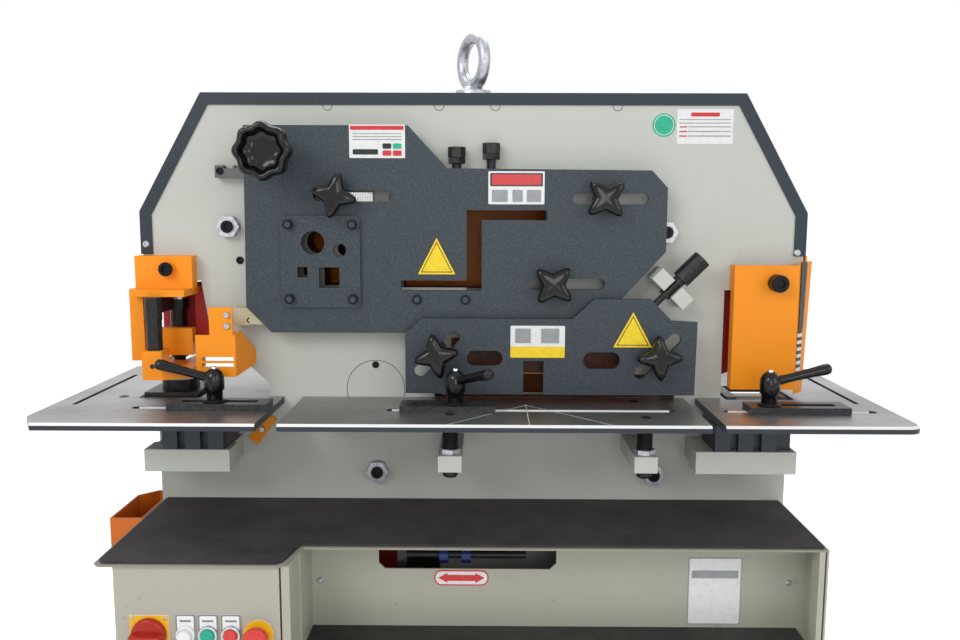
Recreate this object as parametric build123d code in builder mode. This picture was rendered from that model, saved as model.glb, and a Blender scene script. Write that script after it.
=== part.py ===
# Hydraulic ironworker: two plates with a rocking beam between them, on a sheet-metal base.
# Millimetres. +X is to the operator's right, -Y points at the operator, +Z is up.
# The floor is Z = 0, and the front face of the front plate is Y = 0.
import math
import os

from build123d import *

os.makedirs("parts", exist_ok=True)

# Driving dimensions: frame
table_height = 960.0
table_thickness = 12.0
plate_thickness = 25.0
beam_thickness = 50.0
beam_side_gap = 0.3
lower_half_width = 582.0
upper_half_width = 597.0
plate_bottom = 560.0
crown_height = 1505.0
shoulder_height = crown_height - 207.0
crown_half_width = 481.0
throat_top = 1174.0
notch_throat_top = 1160.0
punch_throat_inner = -494.0
punch_throat_foot = -375.0
punch_throat_waist = -480.0
notch_throat_inner = 457.0
throat_corner_radius = 9.0

# Driving dimensions: pivot and beam
pivot_x = -178.0
pivot_height = 975.0
pin_radius = 53.5
pin_running_gap = 0.06

# Driving dimensions: guides on the front
guide_thickness = 10.0
upper_guide_gap = 30.0
guide_layer_gap = 6.0
stud_radius = 8.0
boss_radius = 15.0
guide_slot_half = 9.75
knob_span = 70.0
knob_height = 36.0
thread_gap = 0.05
turning_gap = 0.6

# Driving dimensions: hand wheel, pinion and rack
wheel_x = -344.0
wheel_height = 1398.0
wheel_rim_radius = 41.5
wheel_lobe_reach = 50.0
wheel_stand_off = 100.0
gear_module = 2.5
pinion_teeth = 16

# Driving dimensions: base
base_half_width = 578.0
base_back = 430.0
tray_height = 762.0
mat_thickness = 4.0
sheet = 3.0
box_front = -300.0
box_right = -276.0
recess_back = -144.0
shelf_height = 583.0
cabinet_front = -231.0

# Values that follow from the driving dimensions
table_underside = table_height - table_thickness
beam_front = plate_thickness + beam_side_gap
beam_back = beam_front + beam_thickness
rear_front = beam_back + beam_side_gap
rear_back = rear_front + plate_thickness
upper_guide_back = -upper_guide_gap
upper_guide_front = upper_guide_back - guide_thickness
lower_guide_back = upper_guide_front - guide_layer_gap
lower_guide_front = lower_guide_back - guide_thickness


def front_plane(y):
    """A plane that faces the operator, at depth y."""
    return Plane.XZ.offset(-y)


def add_box(x_span, y_span, z_span, mode=Mode.ADD):
    """Add a block that lies between two corners to the part being built."""
    centre = [(low + high) / 2 for low, high in (x_span, y_span, z_span)]
    with Locations(tuple(centre)):
        Box(x_span[1] - x_span[0], y_span[1] - y_span[0], z_span[1] - z_span[0], mode=mode)


def add_disc(x, z, front, radius, depth, mode=Mode.ADD):
    """Add a disc that faces the operator, from its front face back by depth."""
    with BuildSketch(front_plane(front)) as face:
        with Locations((x, z)):
            Circle(radius)
    extrude(face.sketch, amount=-depth, mode=mode)


def add_post(x, y, z_span, radius, mode=Mode.ADD):
    """Add an upright cylinder between two heights."""
    with BuildSketch(Plane.XY.offset(z_span[0])) as foot:
        with Locations((x, y)):
            Circle(radius)
    extrude(foot.sketch, amount=z_span[1] - z_span[0], mode=mode)


def add_hex(x, z, front, across_flats, depth, mode=Mode.ADD):
    """Add a hexagon that faces the operator, with two flats level."""
    with BuildSketch(front_plane(front)) as face:
        with Locations((x, z)):
            RegularPolygon(across_flats / 2, 6, major_radius=False)
    extrude(face.sketch, amount=-depth, mode=mode)


def add_prism(x, z, front, radius, depth, sides, mode=Mode.ADD):
    """Add a many-sided bar that faces the operator, its corners on a circle."""
    with BuildSketch(front_plane(front)) as face:
        with Locations((x, z)):
            RegularPolygon(radius, sides)
    extrude(face.sketch, amount=-depth, mode=mode)


def add_upright_prism(x, y, z_span, radius, sides, mode=Mode.ADD):
    """Add an upright many-sided bar between two heights."""
    with BuildSketch(Plane.XY.offset(z_span[0])) as foot:
        with Locations((x, y)):
            RegularPolygon(radius, sides)
    extrude(foot.sketch, amount=z_span[1] - z_span[0], mode=mode)


def draw_slot(length, width, rotation=0.0):
    """Draw a slot with rounded ends, each end half of a twelve-sided figure."""
    lead = Vector(math.cos(math.radians(rotation)), math.sin(math.radians(rotation)))
    reach = (length - width) / 2
    Rectangle(length - width, width, rotation=rotation)
    with Locations(tuple(lead * reach)[:2], tuple(lead * -reach)[:2]):
        RegularPolygon(width / 2, 12, major_radius=False, rotation=rotation + 15)


def add_front_slab(points, back, thickness, mode=Mode.ADD):
    """Add a flat plate with a given front outline, thickness towards the operator."""
    with BuildSketch(front_plane(back)) as outline:
        with BuildLine():
            Polyline(*points, close=True)
        make_face()
    extrude(outline.sketch, amount=thickness, mode=mode)


def save(builder, name):
    """Label a finished piece and write it to its own file."""
    builder.part.label = name
    export_step(builder.part, f"parts/{name}.step")


# Places on the front that several pieces share
gib_places = [(-439, 1272), (347, 1264), (-176, 820), (336, 816)]
gib_flats = 36.0
gib_depth = 14.0
gib_screw_radius = 12.0
upper_stud_places = [(-238, 1327), (231, 1323), (143, 1173)]
lower_stud_places = [(-62, 1049), (328, 1047)]
bar_window = ((-345, -189), (1123, 1300))
angle_window = ((-150, 150), (1134, 1330))
flat_slot = ((-70, 372), (table_underside, 1004))
hold_down_window = ((-40, 300), (1004, 1072))
stroke_window = ((-220, -60), (500, 742))
upper_spacer_height = crown_height - 60.0
spacer_places = [(-300, upper_spacer_height), (0, upper_spacer_height), (300, upper_spacer_height)]
spacer_places += [(-525, 850), (525, 850), (-430, 640), (470, 640)]
spacer_flats = 40.0


def plate_outline():
    """The front view of both frame plates, from the bottom left round by the left throat."""
    return [
        (-lower_half_width, plate_bottom),
        (-lower_half_width, table_underside),
        (punch_throat_foot, table_underside),
        (punch_throat_foot, 985),
        (punch_throat_waist, 1083),
        (punch_throat_inner, throat_top),
        (-upper_half_width, throat_top),
        (-upper_half_width, shoulder_height),
        (-crown_half_width, crown_height),
        (crown_half_width, crown_height),
        (upper_half_width, shoulder_height),
        (upper_half_width, notch_throat_top),
        (notch_throat_inner, notch_throat_top),
        (notch_throat_inner, table_underside),
        (lower_half_width, table_underside),
        (lower_half_width, plate_bottom),
    ]


def add_frame_plate(front):
    """Add one frame plate with its windows and its bores for the pin and the tie bolts."""
    with BuildSketch(front_plane(front + plate_thickness)) as face:
        with BuildLine():
            Polyline(*plate_outline(), close=True)
        make_face()
        inner_corners = face.vertices().filter_by(
            lambda v: abs(v.X - punch_throat_inner) < 1 or abs(v.X - notch_throat_inner) < 1
        )
        fillet(inner_corners.filter_by(lambda v: v.Z > 1100), throat_corner_radius)
        for window in (bar_window, angle_window, flat_slot, hold_down_window, stroke_window):
            (x0, x1), (z0, z1) = window
            with Locations(((x0 + x1) / 2, (z0 + z1) / 2)):
                Rectangle(x1 - x0, z1 - z0, mode=Mode.SUBTRACT)
        with Locations((pivot_x, pivot_height)):
            Circle(pin_radius, mode=Mode.SUBTRACT)
    extrude(face.sketch, amount=plate_thickness)


with BuildPart() as front_plate:
    add_frame_plate(0.0)
    for gib_x, gib_z in gib_places:
        add_prism(gib_x, gib_z, 0.0, gib_screw_radius, plate_thickness, 16, Mode.SUBTRACT)
save(front_plate, "front_plate")

with BuildPart() as rear_plate:
    add_frame_plate(rear_front)
save(rear_plate, "rear_plate")

# Hexagon bars hold the plates apart, each with a tie bolt whose head lies behind the rear plate
with BuildPart() as plate_spacers:
    for spacer_x, spacer_z in spacer_places:
        add_hex(spacer_x, spacer_z, plate_thickness, spacer_flats, rear_front - plate_thickness)
        add_hex(spacer_x, spacer_z, rear_back, gib_flats, gib_depth)
save(plate_spacers, "plate_spacers")

# Lock nuts and set screws that bear on the side of the beam
with BuildPart() as gib_screws:
    for gib_x, gib_z in gib_places:
        add_hex(gib_x, gib_z, -gib_depth, gib_flats, gib_depth)
        add_prism(gib_x, gib_z, -gib_depth, gib_screw_radius - 0.05, gib_depth + plate_thickness, 16)
save(gib_screws, "gib_screws")

# The pin is flush with both plates
with BuildPart() as pivot_pin:
    add_disc(pivot_x, pivot_height, 0.0, pin_radius - pin_running_gap, rear_back)
save(pivot_pin, "pivot_pin")

# Folded sheet hood over the shoulders and the crown, with a lip turned down in front and behind
hood_lip = 18.0
hood_foot = shoulder_height - 76.0
hood_front = -sheet
hood_rear = rear_back + sheet
with BuildPart() as hood:
    with BuildSketch(front_plane(hood_rear)) as hood_band:
        with BuildLine():
            Polyline(
                (-upper_half_width, hood_foot),
                (-upper_half_width, shoulder_height),
                (-crown_half_width, crown_height),
                (crown_half_width, crown_height),
                (upper_half_width, shoulder_height),
                (upper_half_width, hood_foot),
            )
            offset(amount=sheet, side=Side.LEFT)
        make_face()
    extrude(amount=hood_rear - hood_front)
    with BuildSketch(front_plane(0), front_plane(hood_rear)) as hood_lips:
        with BuildLine():
            Polyline(
                (-upper_half_width, hood_foot),
                (-upper_half_width, shoulder_height),
                (-crown_half_width, crown_height),
                (crown_half_width, crown_height),
                (upper_half_width, shoulder_height),
                (upper_half_width, hood_foot),
            )
            offset(amount=hood_lip, side=Side.RIGHT)
        make_face()
    extrude(amount=sheet)
save(hood, "hood")

# Lifting eye: a collar and shank with a forged ring, which stands at the angle where its thread came tight
eye_ring_radius = 42.0
eye_wire_radius = 12.0
eye_collar_radius = 32.5
eye_collar_height = 12.0
eye_shank_radius = 15.0
eye_turn = 61.0
eye_ring_sides = 24
eye_foot = crown_height + sheet
eye_centre = eye_foot + eye_collar_height + eye_ring_radius + eye_wire_radius * 0.6
eye_depth = beam_front + beam_thickness / 2
ring_across = Vector(math.cos(math.radians(eye_turn)), -math.sin(math.radians(eye_turn)), 0)
ring_axis = Vector(-ring_across.Y, ring_across.X, 0)
with BuildPart() as eye_bolt:
    ring_back = Vector(0, eye_depth, eye_centre) - ring_axis * eye_wire_radius
    with BuildSketch(Plane(origin=ring_back, x_dir=ring_across, z_dir=ring_axis)) as ring:
        RegularPolygon(eye_ring_radius + eye_wire_radius, eye_ring_sides)
        RegularPolygon(eye_ring_radius - eye_wire_radius, eye_ring_sides, mode=Mode.SUBTRACT)
    extrude(ring.sketch, amount=eye_wire_radius * 2)
    rims = eye_bolt.faces().filter_by(lambda face: abs(face.normal_at().dot(ring_axis)) > 0.99)
    chamfer(rims.edges(), eye_wire_radius * 0.58)
    add_upright_prism(0, eye_depth, (eye_foot, eye_foot + eye_collar_height), eye_collar_radius, 24)
    shank_top = eye_centre - eye_ring_radius
    add_upright_prism(0, eye_depth, (eye_foot + eye_collar_height, shank_top), eye_shank_radius, 16)
save(eye_bolt, "eye_bolt")

# Rocking beam: one thick plate with windows for blades, a nose for the punch, an arm for the cylinder
arm_half_width = 42.0
trunnion_height = 440.0
trunnion_radius = 20.0
trunnion_slot_half = 30.0
nose_x = -545.0
nose_height = 1220.0
nose_radius = 18.0
nose_neck_half = 11.0
beam_end = 500.0
beam_crown = crown_height - 135.0
bar_block = ((-340, -194), (1128, 1295))
angle_block = ((-145, 145), (1139, 1325))
flat_block = ((-60, 362), (1004, 1040))
beam_flat_slot_floor = 905.0
bar_holes = [(-280, 1245, 20.6), (-233, 1232, 11.7)]
bar_squares = [(-299, 1193.5, 18.0), (-252, 1184, 36.0)]
angle_slot_low = ((-126, 16.5), (1161, 1179))
angle_slot_stem = ((-10.5, 16.5), (1161, 1302.6))
angle_slot_top = ((-10.5, 131.6), (1285, 1302.6))


def cut_bar_holes(front, depth, spare=0.0):
    """Cut the two round and two square bar holes through what lies in front of depth."""
    for hole_x, hole_z, radius in bar_holes:
        add_disc(hole_x, hole_z, front, radius + spare, depth, mode=Mode.SUBTRACT)
    for hole_x, hole_z, side in bar_squares:
        half = side / 2 + spare
        x_span = (hole_x - half, hole_x + half)
        z_span = (hole_z - half, hole_z + half)
        add_box(x_span, (front, front + depth), z_span, Mode.SUBTRACT)


def cut_angle_slot(front, depth, spare=0.0):
    """Cut the stepped slot that takes angle bar of either hand."""
    for (x0, x1), (z0, z1) in (angle_slot_low, angle_slot_stem, angle_slot_top):
        add_box((x0 - spare, x1 + spare), (front, front + depth), (z0 - spare, z1 + spare), Mode.SUBTRACT)


with BuildPart() as beam:
    beam_points = [
        (pivot_x - arm_half_width, trunnion_height - 45),
        (pivot_x - arm_half_width, 880),
        (-445, 1052),
        (-515, 1052),
        (-515, 1150),
        (-500, 1165),
        (-500, nose_height - nose_neck_half),
        (nose_x, nose_height - nose_neck_half),
        (nose_x, nose_height + nose_neck_half),
        (-500, nose_height + nose_neck_half),
        (-495, 1262),
        (-390, beam_crown),
        (430, beam_crown),
        (beam_end, 1290),
        (beam_end, 1015),
        (440, 990),
        (440, 760),
        (400, 720),
        (pivot_x + arm_half_width + 60, 720),
        (pivot_x + arm_half_width, 660),
        (pivot_x + arm_half_width, trunnion_height - 45),
    ]
    add_front_slab(beam_points, beam_back, beam_thickness)
    add_prism(nose_x, nose_height, beam_front, nose_radius, beam_thickness, 16)
    add_disc(pivot_x, pivot_height, beam_front, pin_radius, beam_thickness, mode=Mode.SUBTRACT)
    for (x0, x1), (z0, z1) in (bar_block, angle_block):
        add_box((x0, x1), (beam_front, beam_back), (z0, z1), Mode.SUBTRACT)
    (flat_left, flat_right), (flat_low, flat_high) = flat_block
    flat_window_z = (beam_flat_slot_floor, flat_high)
    add_box((flat_left, flat_right), (beam_front, beam_back), flat_window_z, Mode.SUBTRACT)
    with BuildSketch(front_plane(beam_front)) as trunnion_slot:
        with Locations((pivot_x, trunnion_height)):
            draw_slot(trunnion_slot_half * 2, trunnion_radius * 2 + 0.8, rotation=90)
    extrude(trunnion_slot.sketch, amount=-beam_thickness, mode=Mode.SUBTRACT)
save(beam, "beam")

# Tool-steel blades let into the beam, and the notching punch on its right end
notch_blade_span = ((beam_end, 556), (1002, 1096))
notch_shoe_span = ((beam_end, 540), (1096, 1150))
with BuildPart() as beam_blades:
    (x0, x1), (z0, z1) = bar_block
    add_box((x0, x1), (beam_front, beam_back), (z0, z1))
    cut_bar_holes(beam_front, beam_thickness, 1.0)
    (x0, x1), (z0, z1) = angle_block
    add_box((x0, x1), (beam_front, beam_back), (z0, z1))
    cut_angle_slot(beam_front, beam_thickness, 1.5)
    blade_points = [
        (flat_left, flat_high),
        (flat_right, flat_high),
        (flat_right, flat_low + 14),
        (flat_left, flat_low),
    ]
    add_front_slab(blade_points, beam_front + 20, 20)
    for (x0, x1), (z0, z1) in (notch_blade_span, notch_shoe_span):
        add_box((x0, x1), (beam_front + 2, beam_back - 2), (z0, z1))
save(beam_blades, "beam_blades")

# Blades fixed in the front plate, and the notching die below its punch
fixed_blade_depth = 20.0
fixed_blade_front = plate_thickness - fixed_blade_depth
notch_die_foot = table_underside
notch_die_top = table_height + 2
notch_die_walls = ((notch_throat_inner + 12, 488), (568, 579))
with BuildPart() as fixed_blades:
    (x0, x1), (z0, z1) = bar_window
    add_box((x0, x1), (fixed_blade_front, plate_thickness), (z0, z1))
    cut_bar_holes(fixed_blade_front, fixed_blade_depth)
    (x0, x1), (z0, z1) = angle_window
    add_box((x0, x1), (fixed_blade_front, plate_thickness), (z0, z1))
    cut_angle_slot(fixed_blade_front, fixed_blade_depth)
    (x0, x1), (z0, z1) = flat_slot
    add_box((x0, x1), (fixed_blade_front, plate_thickness), (z0, table_height))
    for x0, x1 in notch_die_walls:
        add_box((x0, x1), (2, rear_back - 2), (notch_die_foot, notch_die_top))
save(fixed_blades, "fixed_blades")

# Punch ram between the plates, with a pocket for the beam's nose and a spigot for the punch
ram_x = -556.0
ram_half_width = 30.0
ram_low = 1178.0
ram_high = 1296.0
ram_depth = beam_front + beam_thickness / 2
nose_gap = 1.2
ram_spigot_radius = 17.0
punch_nut_radius = 19.0
punch_nut_span = (1118.0, 1136.0)
punch_tip = 1008.0
with BuildPart() as punch_ram:
    ram_span = (ram_x - ram_half_width, ram_x + ram_half_width)
    add_box(ram_span, (beam_front, beam_back), (ram_low, ram_high))
    pocket_x = (ram_x - ram_half_width + 3, ram_x + ram_half_width)
    pocket_z = (nose_height - nose_radius - nose_gap, nose_height + nose_radius + nose_gap)
    add_box(pocket_x, (beam_front, beam_back), pocket_z, Mode.SUBTRACT)
    add_upright_prism(ram_x, ram_depth, (punch_nut_span[1], ram_low), ram_spigot_radius, 16)
save(punch_ram, "punch_ram")

with BuildPart() as punch:
    add_upright_prism(ram_x, ram_depth, punch_nut_span, punch_nut_radius, 16)
    add_upright_prism(ram_x, ram_depth, (punch_tip + 18, punch_nut_span[0]), 15.0, 16)
    add_upright_prism(ram_x, ram_depth, (punch_tip, punch_tip + 18), 10.5, 16)
save(punch, "punch")

# Hydraulic drive in the base: the piston rod's trunnion block slides in the slot of the beam's arm
cylinder_radius = 58.0
cylinder_span = (-20.0, 330.0)
cylinder_bore_depth = 110.0
rod_radius = 28.0
trunnion_block_half = 34.0
drive_depth = beam_front + beam_thickness / 2
stroke_rod_height = 706.0
stroke_rod_depth = -118.0
stroke_rod_radius = 7.0
stroke_rod_span = (-128.0, 96.0)
carrier_x = -120.0
fork_cheek = 26.0
fork_half_height = 38.0
collar_bore_radius = stroke_rod_radius + 0.1


def add_sided_rod(x_span, y, z, radius, mode=Mode.ADD):
    """Add a sixteen-sided bar that lies along X."""
    with BuildSketch(Plane.YZ.offset(x_span[0])) as section:
        with Locations((y, z)):
            RegularPolygon(radius, 16)
    extrude(section.sketch, amount=x_span[1] - x_span[0], mode=mode)


with BuildPart() as piston_rod:
    fork_x = (pivot_x - trunnion_block_half, pivot_x + arm_half_width + 30)
    fork_z = (trunnion_height - fork_half_height, trunnion_height + fork_half_height)
    add_box(fork_x, (beam_front - fork_cheek, beam_back + fork_cheek), fork_z)
    gap_x = (fork_x[0], pivot_x + arm_half_width + 4)
    add_box(gap_x, (beam_front - 1, beam_back + 1), fork_z, Mode.SUBTRACT)
    trunnion_length = beam_thickness + fork_cheek * 2
    add_prism(pivot_x, trunnion_height, beam_front - fork_cheek, trunnion_radius, trunnion_length, 24)
    add_sided_rod((fork_x[1], cylinder_span[0] + 60), drive_depth, trunnion_height, rod_radius)
    # Carrier that takes the stroke rod to the slot in the recess
    carrier_span = (carrier_x - 8, carrier_x + 8)
    carrier_low = trunnion_height - 16
    add_box(carrier_span, (stroke_rod_depth, beam_front - fork_cheek), (carrier_low, trunnion_height + 16))
    upright_depth = (stroke_rod_depth - 8, stroke_rod_depth + 8)
    add_box(carrier_span, upright_depth, (carrier_low, stroke_rod_height + 12))
    add_sided_rod(stroke_rod_span, stroke_rod_depth, stroke_rod_height, stroke_rod_radius)
save(piston_rod, "piston_rod")

with BuildPart() as hydraulic_cylinder:
    add_sided_rod(cylinder_span, drive_depth, trunnion_height, cylinder_radius)
    bore_span = (cylinder_span[0], cylinder_span[0] + cylinder_bore_depth)
    add_sided_rod(bore_span, drive_depth, trunnion_height, rod_radius + 0.1, Mode.SUBTRACT)
save(hydraulic_cylinder, "hydraulic_cylinder")

collar_radius = 15.0
collar_width = 16.0
collar_places = {"left_stroke_collar": -47.0, "right_stroke_collar": -8.0}
for collar_name, collar_x in collar_places.items():
    with BuildPart() as stroke_collar:
        collar_span = (collar_x - collar_width / 2, collar_x + collar_width / 2)
        add_sided_rod(collar_span, stroke_rod_depth, stroke_rod_height, collar_radius)
        add_sided_rod(collar_span, stroke_rod_depth, stroke_rod_height, collar_bore_radius, Mode.SUBTRACT)
        screw_span = (stroke_rod_height + 14, stroke_rod_height + 24)
        add_upright_prism(collar_x, stroke_rod_depth, screw_span, 5.5, 6)
    save(stroke_collar, collar_name)

# Upper guide plate: slides left and right on three studs, and carries the bar hole plate
upper_guide_outline = [
    (-398, 1448),
    (-112, 1448),
    (-44, 1375),
    (313, 1372),
    (341, 1342),
    (341, 1231),
    (266, 1148),
    (203, 1085),
    (-358, 1085),
    (-402, 1130),
]
upper_guide_slots = [(-279, -140, 1327), (175, 308, 1323), (99, 235, 1173)]
bar_plate_span = ((-337, -197), (1131, 1292))
bar_plate_thickness = 6.0
bar_plate_screws = [(-322, 1277), (-210, 1277), (-322, 1146), (-210, 1146)]
cap_head_radius = 8.0
cap_head_height = 9.5
wheel_shaft_radius = 8.0
low_head_height = 5.0
with BuildPart() as upper_guide:
    add_front_slab(upper_guide_outline, upper_guide_back, guide_thickness)
    for slot_left, slot_right, slot_z in upper_guide_slots:
        with BuildSketch(front_plane(upper_guide_front)) as slot:
            with Locations(((slot_left + slot_right) / 2, slot_z)):
                draw_slot(slot_right - slot_left, guide_slot_half * 2)
        extrude(slot.sketch, amount=-guide_thickness, mode=Mode.SUBTRACT)
    add_box((-320, -212), (upper_guide_front, upper_guide_back), (1156, 1270), Mode.SUBTRACT)
    cut_angle_slot(upper_guide_front, guide_thickness)
    shaft_bore = wheel_shaft_radius + turning_gap
    add_prism(wheel_x, wheel_height, upper_guide_front, shaft_bore, guide_thickness, 16, Mode.SUBTRACT)
    for screw_x, screw_z in [(-98, 1145), (-12, 1145)]:
        head_seat = upper_guide_front - thread_gap
        add_prism(screw_x, screw_z, head_seat - low_head_height, cap_head_radius, low_head_height, 12)
save(upper_guide, "upper_guide")

with BuildPart() as bar_hole_plate:
    (x0, x1), (z0, z1) = bar_plate_span
    bar_plate_front = upper_guide_front - bar_plate_thickness
    with BuildSketch(front_plane(upper_guide_front)) as plate_face:
        with Locations(((x0 + x1) / 2, (z0 + z1) / 2)):
            Rectangle(x1 - x0, z1 - z0)
        chamfer(plate_face.vertices(), 5)
    extrude(plate_face.sketch, amount=bar_plate_thickness)
    cut_bar_holes(bar_plate_front, bar_plate_thickness)
    for screw_x, screw_z in bar_plate_screws:
        head_front = bar_plate_front - cap_head_height
        add_prism(screw_x, screw_z, head_front, cap_head_radius, cap_head_height, 12)
save(bar_hole_plate, "bar_hole_plate")

# Lower guide plate: slides at forty-five degrees, with a nut boss behind its chamfered corner
lower_guide_outline = [
    (-118, 979),
    (-118, 1086),
    (-88, 1113),
    (177, 1113),
    (215, 1148),
    (315, 1148),
    (352, 1110),
    (397, 1108),
    (395, 977),
    (127, 977),
    (127, 1038),
    (91, 1038),
    (91, 978),
]
lead_x = 351.0
lead_height = 1167.0
lead_depth = -46.0
lead_shaft_radius = 8.5
lead_thread_radius = 6.0
lead_collar_radius = 11.0
lead_handle_radius = 17.0
lead_handle_length = 52.0
fork_along = 26.0
fork_across = 30.0
fork_front = -60.0
nut_boss_start = -45.0
nut_boss_length = 60.0
thread_end = -90.0
thread_bore = (-38.0, -111.0)
nut_boss_width = 24.0


def lead_plane(along):
    """A plane square to the diagonal screw, at a distance along it from the fork's middle."""
    step = along / math.sqrt(2)
    place = (lead_x + step, lead_depth, lead_height + step)
    return Plane(origin=place, x_dir=(0, 1, 0), z_dir=(1, 0, 1))


def add_along_lead(start, end, radius, mode=Mode.ADD):
    """Add a many-sided bar on the diagonal screw's axis."""
    with BuildSketch(lead_plane(start)) as section:
        RegularPolygon(radius, 12)
    extrude(section.sketch, amount=end - start, mode=mode)


with BuildPart() as lower_guide:
    add_front_slab(lower_guide_outline, lower_guide_back, guide_thickness)
    for slot_x, slot_z in lower_stud_places:
        with BuildSketch(front_plane(lower_guide_front)) as slot:
            with Locations((slot_x, slot_z)):
                draw_slot(106, 21, rotation=45)
        extrude(slot.sketch, amount=-guide_thickness, mode=Mode.SUBTRACT)
    for slot_x, slot_z, long_side, short_side in [(22.5, 1042.5, 63, 27), (229.5, 1039, 65, 30)]:
        with BuildSketch(front_plane(lower_guide_front)) as slot:
            with Locations((slot_x, slot_z)):
                draw_slot(long_side, short_side)
        extrude(slot.sketch, amount=-guide_thickness, mode=Mode.SUBTRACT)
    with BuildSketch(lead_plane(nut_boss_start)) as boss:
        Rectangle(2 * (lead_depth - lower_guide_front), nut_boss_width)
    extrude(boss.sketch, amount=-nut_boss_length)
    add_along_lead(*thread_bore, lead_thread_radius + turning_gap, Mode.SUBTRACT)
save(lower_guide, "lower_guide")

# Diagonal lead screw: a knurled handle, two collars that hold it in the fork, and a threaded end
with BuildPart() as lead_screw:
    with BuildSketch(lead_plane(fork_along / 2 + 9)) as handle:
        RegularPolygon(lead_handle_radius, 16)
    extrude(handle.sketch, amount=lead_handle_length)
    for collar_start, collar_length in ((fork_along / 2 + 0.3, 8.7), (-fork_along / 2 - 6, 5.7)):
        with BuildSketch(lead_plane(collar_start)) as collar:
            RegularPolygon(lead_collar_radius, 12)
        extrude(collar.sketch, amount=collar_length)
    with BuildSketch(lead_plane(-fork_along / 2 - 0.3)) as shaft:
        Circle(lead_shaft_radius)
    extrude(shaft.sketch, amount=fork_along + 0.6)
    add_along_lead(thread_end, -fork_along / 2 - 6, lead_thread_radius)
save(lead_screw, "lead_screw")

# Blocks screwed to the front plate: the fork of the lead screw, the lower gib, and the hold-down bridge
hold_down_screws = [(-28, 1181, 1413), (33, 1305, 1420)]
hold_down_depth = -14.0
hold_down_radius = 8.0
bridge_span = ((-56, 62), (1338, 1366))
with BuildPart() as guide_blocks:
    with BuildSketch(front_plane(0)) as fork:
        with Locations((lead_x, lead_height)):
            Rectangle(fork_along, fork_across * 2 + lead_shaft_radius * 2 + 0.2, rotation=45)
    extrude(fork.sketch, amount=-fork_front)
    fork_open = lead_shaft_radius + 0.4
    with BuildSketch(lead_plane(-fork_along / 2 - 1)) as fork_slot:
        with Locations((-(lead_depth - fork_front + 1) / 2, 0)):
            Rectangle(lead_depth - fork_front + 1, fork_open * 2)
        RegularPolygon(fork_open, 12)
    extrude(fork_slot.sketch, amount=fork_along + 2, mode=Mode.SUBTRACT)
    add_box((-400, -350), (upper_guide_back, 0), (1098, 1126))
    (x0, x1), (z0, z1) = bridge_span
    add_box((x0, x1), (upper_guide_back + 0.5, 0), (z0, z1))
    for screw_x, screw_low, screw_high in hold_down_screws:
        hole_radius = hold_down_radius + thread_gap
        add_upright_prism(screw_x, hold_down_depth, (z0, z1), hole_radius, 12, Mode.SUBTRACT)
save(guide_blocks, "guide_blocks")

for side, (screw_x, screw_low, screw_high) in zip(("left", "right"), hold_down_screws):
    with BuildPart() as hold_down:
        add_upright_prism(screw_x, hold_down_depth, (screw_low, screw_high - 18), hold_down_radius, 12)
        with BuildSketch(Plane.XY.offset(screw_high - 18)) as hex_head:
            with Locations((screw_x, hold_down_depth)):
                RegularPolygon(13.5, 6, major_radius=False)
        extrude(hex_head.sketch, amount=18)
    save(hold_down, f"{side}_hold_down_screw")

# Studs that guide both plates, each on a hexagon boss
with BuildPart() as guide_studs:
    stud_layers = ((upper_guide_back, upper_stud_places), (lower_guide_back, lower_stud_places))
    for layer_back, places in stud_layers:
        for stud_x, stud_z in places:
            add_hex(stud_x, stud_z, layer_back, boss_radius * 2, -layer_back)
            stud_length = guide_thickness + 30
            add_disc(stud_x, stud_z, layer_back - stud_length, stud_radius, stud_length)
save(guide_studs, "guide_studs")

# Star knobs: a turned hub with four rounded arms, clamped on the studs
arm_tip_radius = 11.0
knob_hub_radius = 14.0
knob_hub_height = 12.0
knob_seat_gap = 0.1
knob_turns = {
    "upper_left_knob": (upper_stud_places[0], upper_guide_front, 0),
    "upper_right_knob": (upper_stud_places[1], upper_guide_front, 45),
    "centre_knob": (upper_stud_places[2], upper_guide_front, 45),
    "lower_left_knob": (lower_stud_places[0], lower_guide_front, 0),
    "lower_right_knob": (lower_stud_places[1], lower_guide_front, 0),
}
for knob_name, ((knob_x, knob_z), guide_front, turn) in knob_turns.items():
    seat = guide_front - knob_seat_gap
    with BuildPart() as star_knob:
        with BuildSketch(front_plane(seat - knob_hub_height)) as star:
            with Locations((knob_x, knob_z)):
                RegularPolygon(19, 12)
                with PolarLocations(knob_span / 2 - arm_tip_radius, 4, start_angle=turn):
                    RegularPolygon(arm_tip_radius, 8, rotation=22.5)
        extrude(star.sketch, amount=knob_height - knob_hub_height)
        add_prism(knob_x, knob_z, seat - knob_hub_height, knob_hub_radius, knob_hub_height, 12)
        add_prism(knob_x, knob_z, seat - 31, stud_radius + turning_gap, 31, 12, Mode.SUBTRACT)
    save(star_knob, knob_name)

# Rack fixed to the front plate, and the lobed hand wheel whose pinion climbs along it
pitch_radius = gear_module * pinion_teeth / 2
tooth_pitch = math.pi * gear_module
rack_line = wheel_height - pitch_radius
rack_tip = rack_line + gear_module * 0.9
rack_root = rack_line - gear_module * 1.25
rack_span = (-456.0, -256.0)
rack_depth = 20.0
rack_teeth = 15


def rack_profile():
    """The rack's front outline, with trapezoid teeth only along the pinion's travel."""
    points = [(rack_span[0], rack_tip - 22), (rack_span[1], rack_tip - 22), (rack_span[1], rack_root)]
    for index in range(rack_teeth, -1, -1):
        middle = wheel_x + (index - 10) * tooth_pitch
        points.append((middle + 0.36 * tooth_pitch, rack_root))
        points.append((middle + 0.13 * tooth_pitch, rack_tip))
        points.append((middle - 0.13 * tooth_pitch, rack_tip))
        points.append((middle - 0.36 * tooth_pitch, rack_root))
    points.append((rack_span[0] + 14, rack_root))
    points.append((rack_span[0] + 14, rack_tip))
    points.append((rack_span[0], rack_tip))
    return points


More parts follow.
